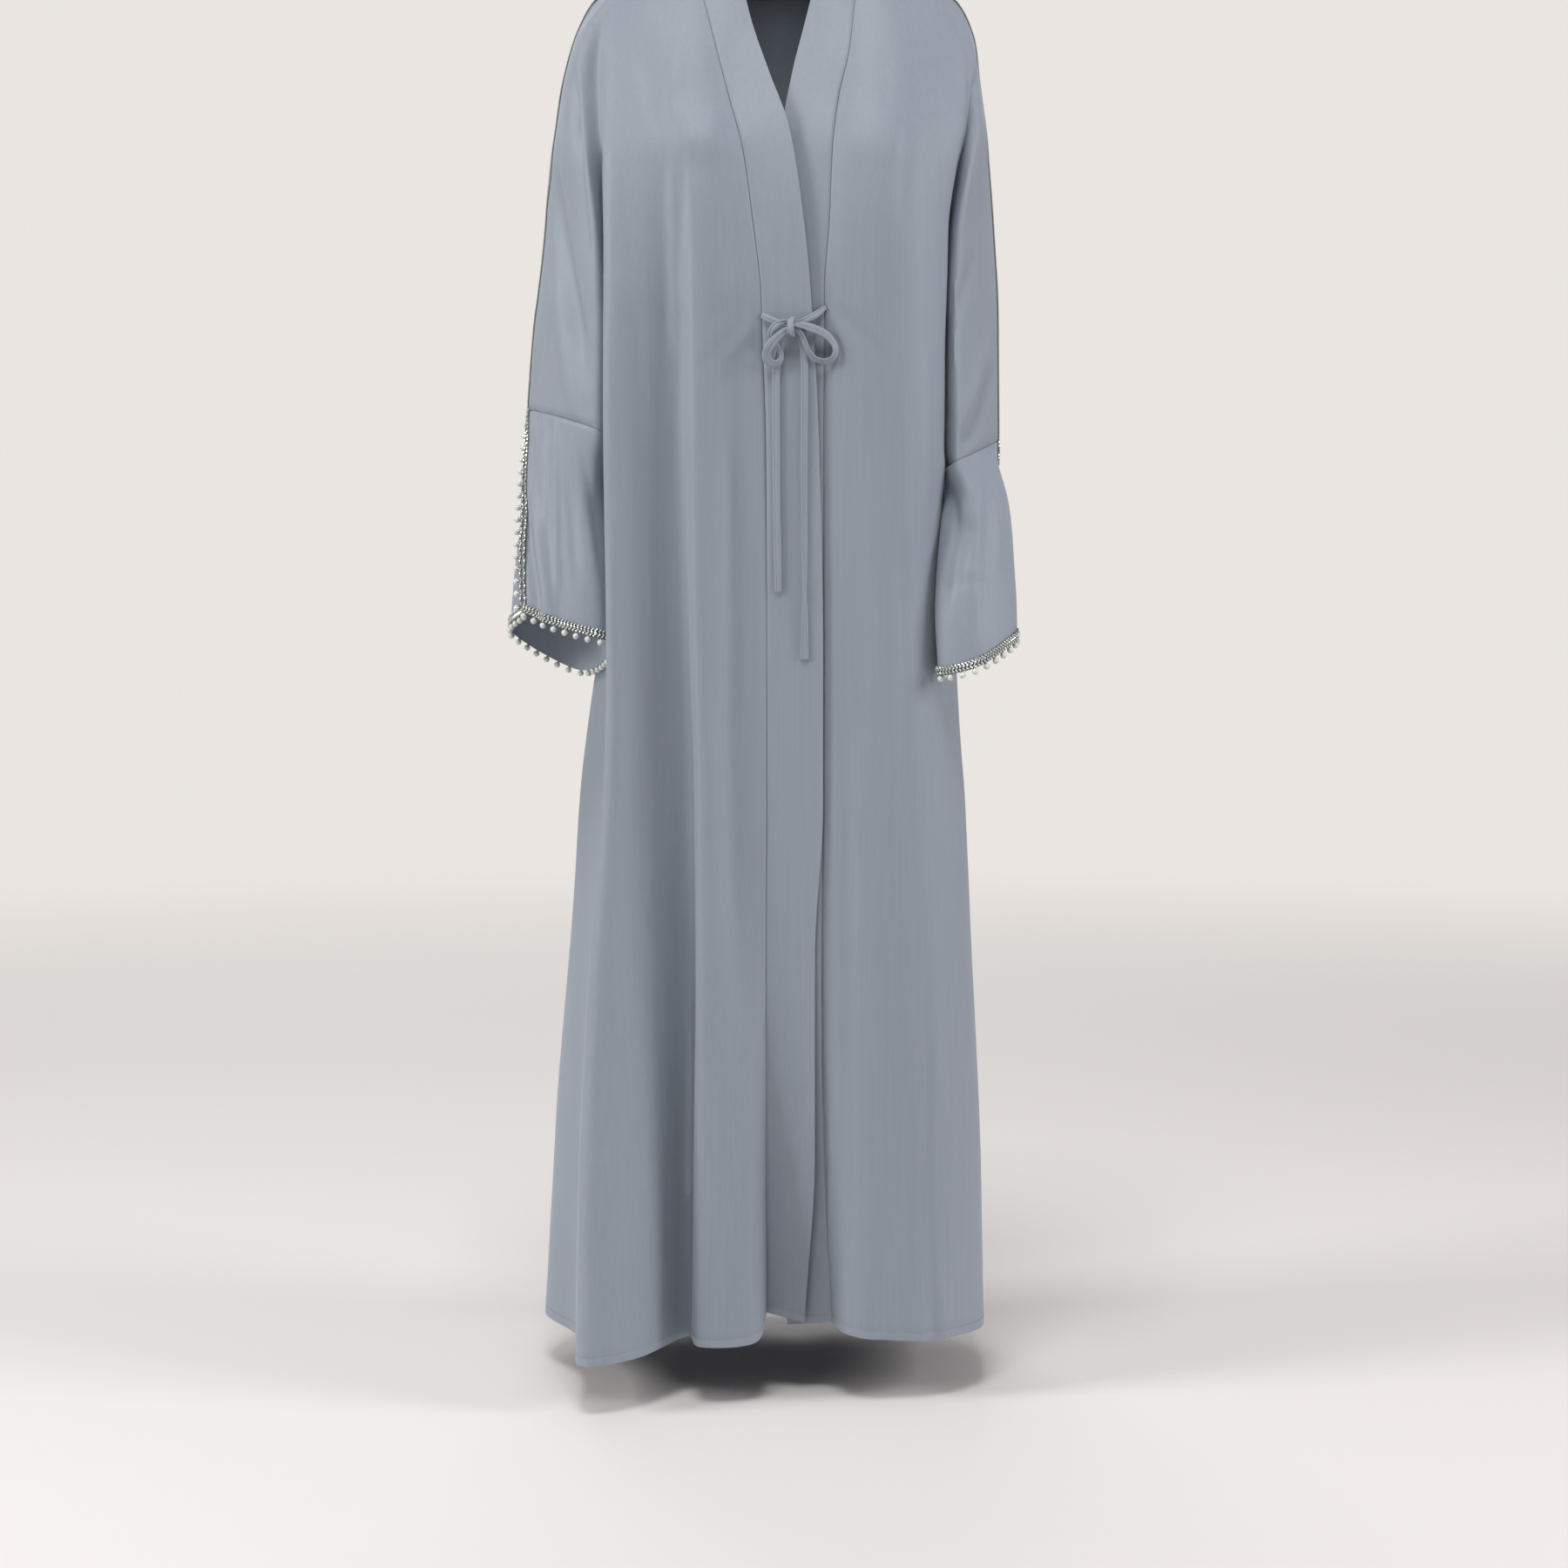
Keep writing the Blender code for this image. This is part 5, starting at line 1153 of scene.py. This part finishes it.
# Shape of the ties. Columns: point of the route, turn in degrees, half width, half thickness.
TIE_FORM = {RIGHT: (
    (0, 0, 2.6, 1.2), (1, 0, 3.5, 1.3), (3, 0, 3.0, 1.4), (5, 0, 2.4, 1.4), (7, 8, 3.5, 1.3),
    (8, 12, 3.9, 1.3), (10, -8, 3.3, 1.3), (12, -44, 3.0, 1.3), (13, -38, 3.5, 1.3), (14, -26, 4.2, 1.2),
    (15, -18, 4.4, 1.2), (17, -4, 4.4, 1.2), (18, 0, 4.1, 1.3), (20, 0, 2.8, 1.4), (21, 0, 2.8, 1.3),
    (23, 4, 3.7, 1.2), (25, 6, 4.0, 1.2), (27, 10, 3.8, 1.2), (28, 4, 3.9, 1.2), (29, 2, 3.5, 1.0),
), LEFT: (
    (0, 0, 2.4, 1.2), (1, 0, 3.3, 1.3), (3, 0, 3.4, 1.3), (5, 0, 2.6, 1.4), (7, 0, 2.9, 1.3),
    (8, -8, 3.7, 1.3), (9, -14, 4.4, 1.2), (10, -22, 4.3, 1.2), (12, -42, 3.8, 1.3), (14, -38, 3.6, 1.3),
    (16, -46, 3.0, 1.3), (18, -20, 2.8, 1.3), (19, 0, 2.6, 1.3), (21, 0, 2.8, 1.3), (23, 0, 3.5, 1.2),
    (26, -6, 3.6, 1.2), (28, -16, 3.3, 1.2), (29, -50, 3.0, 1.2), (30, -8, 3.8, 1.1), (31, 0, 4.2, 1.0),
)}
STRAP_POINTS = 36
STRAP_SHARP = 70
BOW_STEP = 1.3
TAIL_STEP = 3.5
TIE_TAIL_START = 25
# How strongly the face of a tie comes back to the front after a twist in the bow.
TIE_FACE_RETURN = 0.22
# Section of a strap: how square its edges are, and depth, middle and width of the fold's groove.
STRAP_SQUARE = 0.8
GROOVE = (0.6, 0.3, 0.17)


def strap_ring(half_width, half_thick):
    """Section of a folded strap: an oval with a soft groove off the middle of its face."""
    angles = 2 * np.pi * np.arange(STRAP_POINTS) / STRAP_POINTS
    wide, thick = np.cos(angles), np.sin(angles)
    depth, middle, width = GROOVE
    groove = depth * np.exp(-(((wide - middle) / width) ** 2)) * (thick > 0)
    return half_width * np.sign(wide) * np.abs(wide) ** STRAP_SQUARE, half_thick * thick * (1 - groove)


def sweep_strap(name, node, places, faces_to, form, marks, face_return=0.0):
    """A strap along the places; its face looks towards faces_to, then turns by the form."""
    run = distances_along(places)
    along = unit(np.gradient(places, run, axis=0))
    columns = np.array(form, float)
    turned_at = np.interp(columns[:, 0], np.arange(len(marks)), marks)
    front = np.array(faces_to, float)
    face = front
    rings = []
    for place, way, share in zip(places, along, run * (marks[-1] / run[-1])):
        face = face + (front - face) * face_return
        face = face - way * (face @ way)
        face /= np.linalg.norm(face)
        turn, half_width, half_thick = (np.interp(share, turned_at, columns[:, k]) for k in (1, 2, 3))
        turn = math.radians(turn)
        up = face * math.cos(turn) + np.cross(way, face) * math.sin(turn)
        wide, thick = strap_ring(half_width, half_thick)
        rings.append(place + wide[:, None] * np.cross(way, up) + thick[:, None] * up)
    verts = np.array(rings).reshape(-1, 3)
    strap = add_mesh(name, verts, rod_faces(STRAP_POINTS, len(places)), FINISH["crepe"], sharp=STRAP_SHARP)
    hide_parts(node)
    return strap


def make_tie(side):
    """A narrow folded strap from the band seam through the bow to its free end."""
    line = Section(below(TIE_ROUTE[side]))
    bow, full = line.marks[TIE_TAIL_START], line.marks[-1]
    end_gap = 1.0
    steps = [np.arange(0, bow, BOW_STEP), np.arange(bow, full - end_gap, TAIL_STEP), [full]]
    places = line.at(np.concatenate(steps))
    name = side + "_tie"
    tie = sweep_strap(name + "_strap", name, places, (0, -1, 0), TIE_FORM[side], line.marks, TIE_FACE_RETURN)
    return tie, places * MM


# The knot's ring: (back, level) round the strands, at KNOT_ACROSS and a little to either side.
KNOT_RING = ((-142.4, 378), (-142.6, 370.5), (-145.6, 367.2), (-150.2, 367.4), (-153.2, 370.4),
             (-154.2, 374.6), (-153.8, 378.8), (-151.4, 382.0), (-147.2, 382.9), (-143.4, 381.0),
             (-142.4, 378.4))
KNOT_ACROSS = 15.7
KNOT_STRAY = 0.5
KNOT_FORM = ((0, 0, 3.2, 1.1), (3, 0, 3.4, 1.2), (5, 0, 3.8, 1.4), (7, 0, 4.2, 1.3), (10, 0, 3.4, 1.1))


def make_knot():
    """The strap that wraps over the strands of the bow."""
    line = Section([(KNOT_ACROSS + KNOT_STRAY * math.sin(k), back, -level)
                    for k, (back, level) in enumerate(KNOT_RING)])
    places = line.at(np.arange(0, line.marks[-1], BOW_STEP))
    return sweep_strap("bow_knot_wrap", "bow_knot", places, (0, 0.2, 1), KNOT_FORM, line.marks)


# ---- Finishes ----


def new_group(name, **inputs):
    """A node group with the named inputs and their values, that puts out colour, roughness and height."""
    group = bpy.data.node_groups.new(name, "ShaderNodeTree")
    for label, value in inputs.items():
        kind = "NodeSocketFloat" if isinstance(value, float) else "NodeSocketColor"
        group.interface.new_socket(label, in_out="INPUT", socket_type=kind).default_value = value
    for label, kind in (("Colour", "NodeSocketColor"), ("Roughness", "NodeSocketFloat"),
                        ("Height", "NodeSocketFloat")):
        group.interface.new_socket(label, in_out="OUTPUT", socket_type=kind)
    return group, group.nodes.new("NodeGroupInput").outputs


def add_node(tree, kind, **values):
    """A node with its settings and the values of its inputs, by name."""
    node = tree.nodes.new(kind)
    for name, value in values.items():
        if hasattr(node, name):
            setattr(node, name, value)
        else:
            node.inputs[name.replace("_", " ")].default_value = value
    return node


def noise_at(tree, stretch, scale, detail=2.0):
    """Noise over the object's own metres, stretched along each axis."""
    where = tree.nodes.new("ShaderNodeTexCoord")
    mapping = add_node(tree, "ShaderNodeMapping", Scale=stretch)
    tree.links.new(where.outputs["Object"], mapping.inputs["Vector"])
    texture = add_node(tree, "ShaderNodeTexNoise", Scale=scale, Detail=detail)
    tree.links.new(mapping.outputs["Vector"], texture.inputs["Vector"])
    return texture.outputs["Fac"]


def sums(tree, operation, first, second):
    """The result of a Math node on two values or outputs."""
    node = add_node(tree, "ShaderNodeMath", operation=operation)
    for socket, value in zip(node.inputs, (first, second)):
        if isinstance(value, (int, float)):
            socket.default_value = value
        else:
            tree.links.new(value, socket)
    return node.outputs[0]


def centred(tree, value, share):
    """A noise of 0 to 1, moved to lie about 0, times the share."""
    return sums(tree, "MULTIPLY", sums(tree, "SUBTRACT", value, 0.5), share)


def put_out(group, into, change, shine, swing, height):
    """The tone made lighter or darker by change, roughness that swings with shine, and the height."""
    out = group.nodes.new("NodeGroupOutput")
    colour = add_node(group, "ShaderNodeVectorMath", operation="SCALE")
    group.links.new(into["Tone"], colour.inputs[0])
    group.links.new(sums(group, "ADD", change, 1.0), colour.inputs["Scale"])
    group.links.new(colour.outputs[0], out.inputs["Colour"])
    rough = sums(group, "ADD", into["Roughness"], centred(group, shine, 2 * swing))
    group.links.new(rough, out.inputs["Roughness"])
    group.links.new(height, out.inputs["Height"])


def make_crepe_group():
    """Crepe: faint streaks down the cloth, slow clouds of tone and a fine pebbled grain."""
    group, into = new_group("crepe_grain", Tone=(0.3, 0.33, 0.38, 1), Streak=0.06, Cloud=0.05, Roughness=0.6)
    streak = noise_at(group, (260, 260, 2.2), 1.0, 3.0)
    fine_streak = noise_at(group, (900, 900, 9), 1.0, 1.0)
    cloud = noise_at(group, (1, 1, 0.6), 9.0)
    pebble = noise_at(group, (1, 1, 0.8), 1500.0)
    tone = centred(group, streak, into["Streak"])
    for value, share in ((fine_streak, into["Streak"]), (cloud, into["Cloud"])):
        tone = sums(group, "ADD", tone, centred(group, value, share))
    grain = sums(group, "MULTIPLY", pebble, 0.6)
    height = sums(group, "ADD", grain, sums(group, "MULTIPLY", fine_streak, 0.4))
    put_out(group, into, tone, fine_streak, 0.05, height)


def make_wear_group():
    """Metal and pearl: small changes of tone and shine, and fine marks."""
    group, into = new_group("fine_marks", Tone=(0.5, 0.5, 0.5, 1), Change=0.1, Roughness=0.3)
    patch = noise_at(group, (1, 1, 1), 260.0)
    mark = noise_at(group, (1, 1, 1), 2600.0)
    put_out(group, into, centred(group, patch, into["Change"]), mark, 0.06, mark)


# Finishes: group, the group's inputs, bump's strength and distance, and the shader's own sockets.
SHEEN_TINT = (0.86, 0.92, 1.0, 1.0)
FINISHES = {
    "crepe": ("crepe_grain", dict(Tone=(0.262, 0.300, 0.350, 1), Streak=0.10, Cloud=0.06, Roughness=0.56),
              (0.35, 0.0004),
              dict(Sheen_Weight=0.25, Sheen_Roughness=0.4, Sheen_Tint=SHEEN_TINT, Specular_IOR_Level=0.42)),
    "thread": ("crepe_grain", dict(Tone=(0.235, 0.265, 0.305, 1), Streak=0.2, Cloud=0.1, Roughness=0.5),
               (0.4, 0.0002), dict(Sheen_Weight=0.2, Sheen_Roughness=0.4)),
    "braid_base": ("fine_marks", dict(Tone=(0.12, 0.128, 0.12, 1), Change=0.9, Roughness=0.55),
                   (0.6, 0.0003), dict(Metallic=0.3)),
    "silver": ("fine_marks", dict(Tone=(0.40, 0.42, 0.40, 1), Change=0.3, Roughness=0.34),
               (0.1, 0.0001), dict(Metallic=0.9)),
    "stone": ("fine_marks", dict(Tone=(0.74, 0.79, 0.76, 1), Change=0.4, Roughness=0.2),
              (0.05, 0.0001), dict(Metallic=0.6, Coat_Weight=0.6, Coat_Roughness=0.05)),
    "pearl": ("fine_marks", dict(Tone=(0.66, 0.68, 0.63, 1), Change=0.12, Roughness=0.26), (0.04, 0.0001),
              dict(Coat_Weight=0.6, Coat_Roughness=0.1, Sheen_Weight=0.2, Sheen_Roughness=0.3)),
    "floor": ("fine_marks", dict(Tone=(0.76, 0.74, 0.725, 1), Change=0.02, Roughness=0.9),
              (0.02, 0.0002), dict(Specular_IOR_Level=0.1)),
}


def make_finish(name, group, inputs, bump, sockets):
    """A Principled material whose colour, roughness and bump come from a node group."""
    material = bpy.data.materials.new(name)
    material.use_nodes = True
    tree = material.node_tree
    shader = tree.nodes["Principled BSDF"]
    surface = add_node(tree, "ShaderNodeGroup", node_tree=bpy.data.node_groups[group])
    relief = add_node(tree, "ShaderNodeBump", Strength=bump[0], Distance=bump[1])
    for label, value in inputs.items():
        surface.inputs[label].default_value = value
    for output, socket in (("Colour", shader.inputs["Base Color"]), ("Roughness", shader.inputs["Roughness"]),
                           ("Height", relief.inputs["Height"])):
        tree.links.new(surface.outputs[output], socket)
    tree.links.new(relief.outputs["Normal"], shader.inputs["Normal"])
    for label, value in sockets.items():
        shader.inputs[label.replace("_", " ")].default_value = value
    return material


# ---- Camera, lights and floor ----

SENSOR_WIDTH = 36.0
# Focal length over the width of the view.
LENS = 4465.7 / 1800
CAMERA_PLACE = (0.009, -4.0, -0.45)
CAMERA_TARGET = (0.009, 0.0, -0.8415)

# Lights. Columns: name, place, target, size, power, colour.
LIGHTS = (
    ("left", (-3.6, -1.4, 0.9), (0, 0, -0.8), 1.3, 97, (1.0, 0.995, 0.98)),
    ("right", (3.6, -1.3, 0.7), (0, 0, -0.8), 1.5, 78, (1.0, 0.98, 1.0)),
    ("top", (-0.3, -2.2, 3.6), (0, 0, -0.6), 1.4, 110, (1.0, 1.0, 0.99)),
    ("back", (-0.6, 3.4, 1.6), (0, 0, -0.8), 2.4, 46, (1.0, 1.0, 1.0)),
)
# The floor, and how far from its middle it starts to fade and is gone.
FLOOR_LEVEL = -1.455
FLOOR_REACH = 6.0
FLOOR_FADE = (1.6, 4.6)
STUDIO_COLOUR = (0.82, 0.785, 0.755, 1.0)
STUDIO_STRENGTH = 1.0
AMBIENT_COLOUR = (0.84, 0.79, 0.81, 1.0)
AMBIENT_STRENGTH = 0.28


def add_object(name, data, place, target=None):
    """Put the thing in the scene, turned towards its target."""
    thing = bpy.data.objects.new(name, data)
    bpy.context.scene.collection.objects.link(thing)
    thing.location = place
    if target is not None:
        thing.rotation_euler = (Vector(target) - thing.location).to_track_quat("-Z", "Y").to_euler()
    return thing


def make_camera():
    data = bpy.data.cameras.new("camera")
    data.sensor_width = SENSOR_WIDTH
    data.lens = LENS * SENSOR_WIDTH
    bpy.context.scene.camera = add_object("camera", data, CAMERA_PLACE, CAMERA_TARGET)


def fade_floor(material):
    """The floor fades into the studio's own tone away from the cloak."""
    tree = material.node_tree
    where = tree.nodes.new("ShaderNodeTexCoord")
    distance = add_node(tree, "ShaderNodeVectorMath", operation="LENGTH")
    tree.links.new(where.outputs["Object"], distance.inputs[0])
    fade = add_node(tree, "ShaderNodeMapRange", interpolation_type="SMOOTHSTEP", From_Min=FLOOR_FADE[0],
                    From_Max=FLOOR_FADE[1], To_Min=1.0, To_Max=0.0)
    tree.links.new(distance.outputs["Value"], fade.inputs["Value"])
    tree.links.new(fade.outputs["Result"], tree.nodes["Principled BSDF"].inputs["Alpha"])


def make_studio():
    """Even soft light from all round; the backdrop itself shows a little brighter."""
    world = bpy.data.worlds.new("studio")
    world.use_nodes = True
    tree = world.node_tree
    ambient, backdrop = tree.nodes["Background"], tree.nodes.new("ShaderNodeBackground")
    for node, colour, strength in ((ambient, AMBIENT_COLOUR, AMBIENT_STRENGTH),
                                   (backdrop, STUDIO_COLOUR, STUDIO_STRENGTH)):
        node.inputs["Color"].default_value = colour
        node.inputs["Strength"].default_value = strength
    seen, mix = tree.nodes.new("ShaderNodeLightPath"), tree.nodes.new("ShaderNodeMixShader")
    tree.links.new(seen.outputs["Is Camera Ray"], mix.inputs[0])
    tree.links.new(ambient.outputs[0], mix.inputs[1])
    tree.links.new(backdrop.outputs[0], mix.inputs[2])
    tree.links.new(mix.outputs[0], tree.nodes["World Output"].inputs["Surface"])
    bpy.context.scene.world = world
    bpy.context.scene.view_settings.view_transform = "Standard"


def make_stage():
    for name, place, target, size, power, colour in LIGHTS:
        data = bpy.data.lights.new(name, "AREA")
        data.shape, data.size, data.energy, data.color = "SQUARE", size, power, colour
        add_object(name, data, place, target)
    mesh = bpy.data.meshes.new("floor")
    corners = [(FLOOR_REACH * x, FLOOR_REACH * y, 0) for x, y in ((-1, -1), (1, -1), (1, 1), (-1, 1))]
    mesh.from_pydata(corners, [], [(0, 1, 2, 3)])
    fade_floor(FINISH["floor"])
    mesh.materials.append(FINISH["floor"])
    add_object("floor", mesh, (0, 0, FLOOR_LEVEL))
    make_studio()


# ---- The whole cloak ----

# Flat cut of each panel: width, length and area, in metres.
CUT = {
    "right_front": (0.60, 1.44, 0.55),
    "left_front": (0.50, 1.44, 0.428),
    "back": (0.95, 1.44, 0.784),
    "right_lower_sleeve": (0.30, 0.25, 0.066),
    "left_lower_sleeve": (0.27, 0.22, 0.054),
    "right_band": (0.06, 1.60, 0.081),
    "left_band": (0.06, 1.60, 0.082),
}


def make_cloak():
    knot = make_knot()
    for side in (RIGHT, LEFT):
        tie, path = make_tie(side)
    cloth = Cloth({side: Half(side) for side in (RIGHT, LEFT)})
    cloth.move(crease_shift(cloth))
    shells = {panel: make_shell(cloth, panel) for panel in CUT}
    trims = {"back": [make_hem_stitches(cloth)]}
    for side in (RIGHT, LEFT):
        trims[side + "_lower_sleeve"] = make_cuff_braid(cloth, side)
        trims[side + "_front"] = make_overarm_braid(cloth, side)


make_camera()
make_crepe_group()
make_wear_group()
FINISH = {name: make_finish(name, *values) for name, values in FINISHES.items()}
make_cloak()
make_stage()
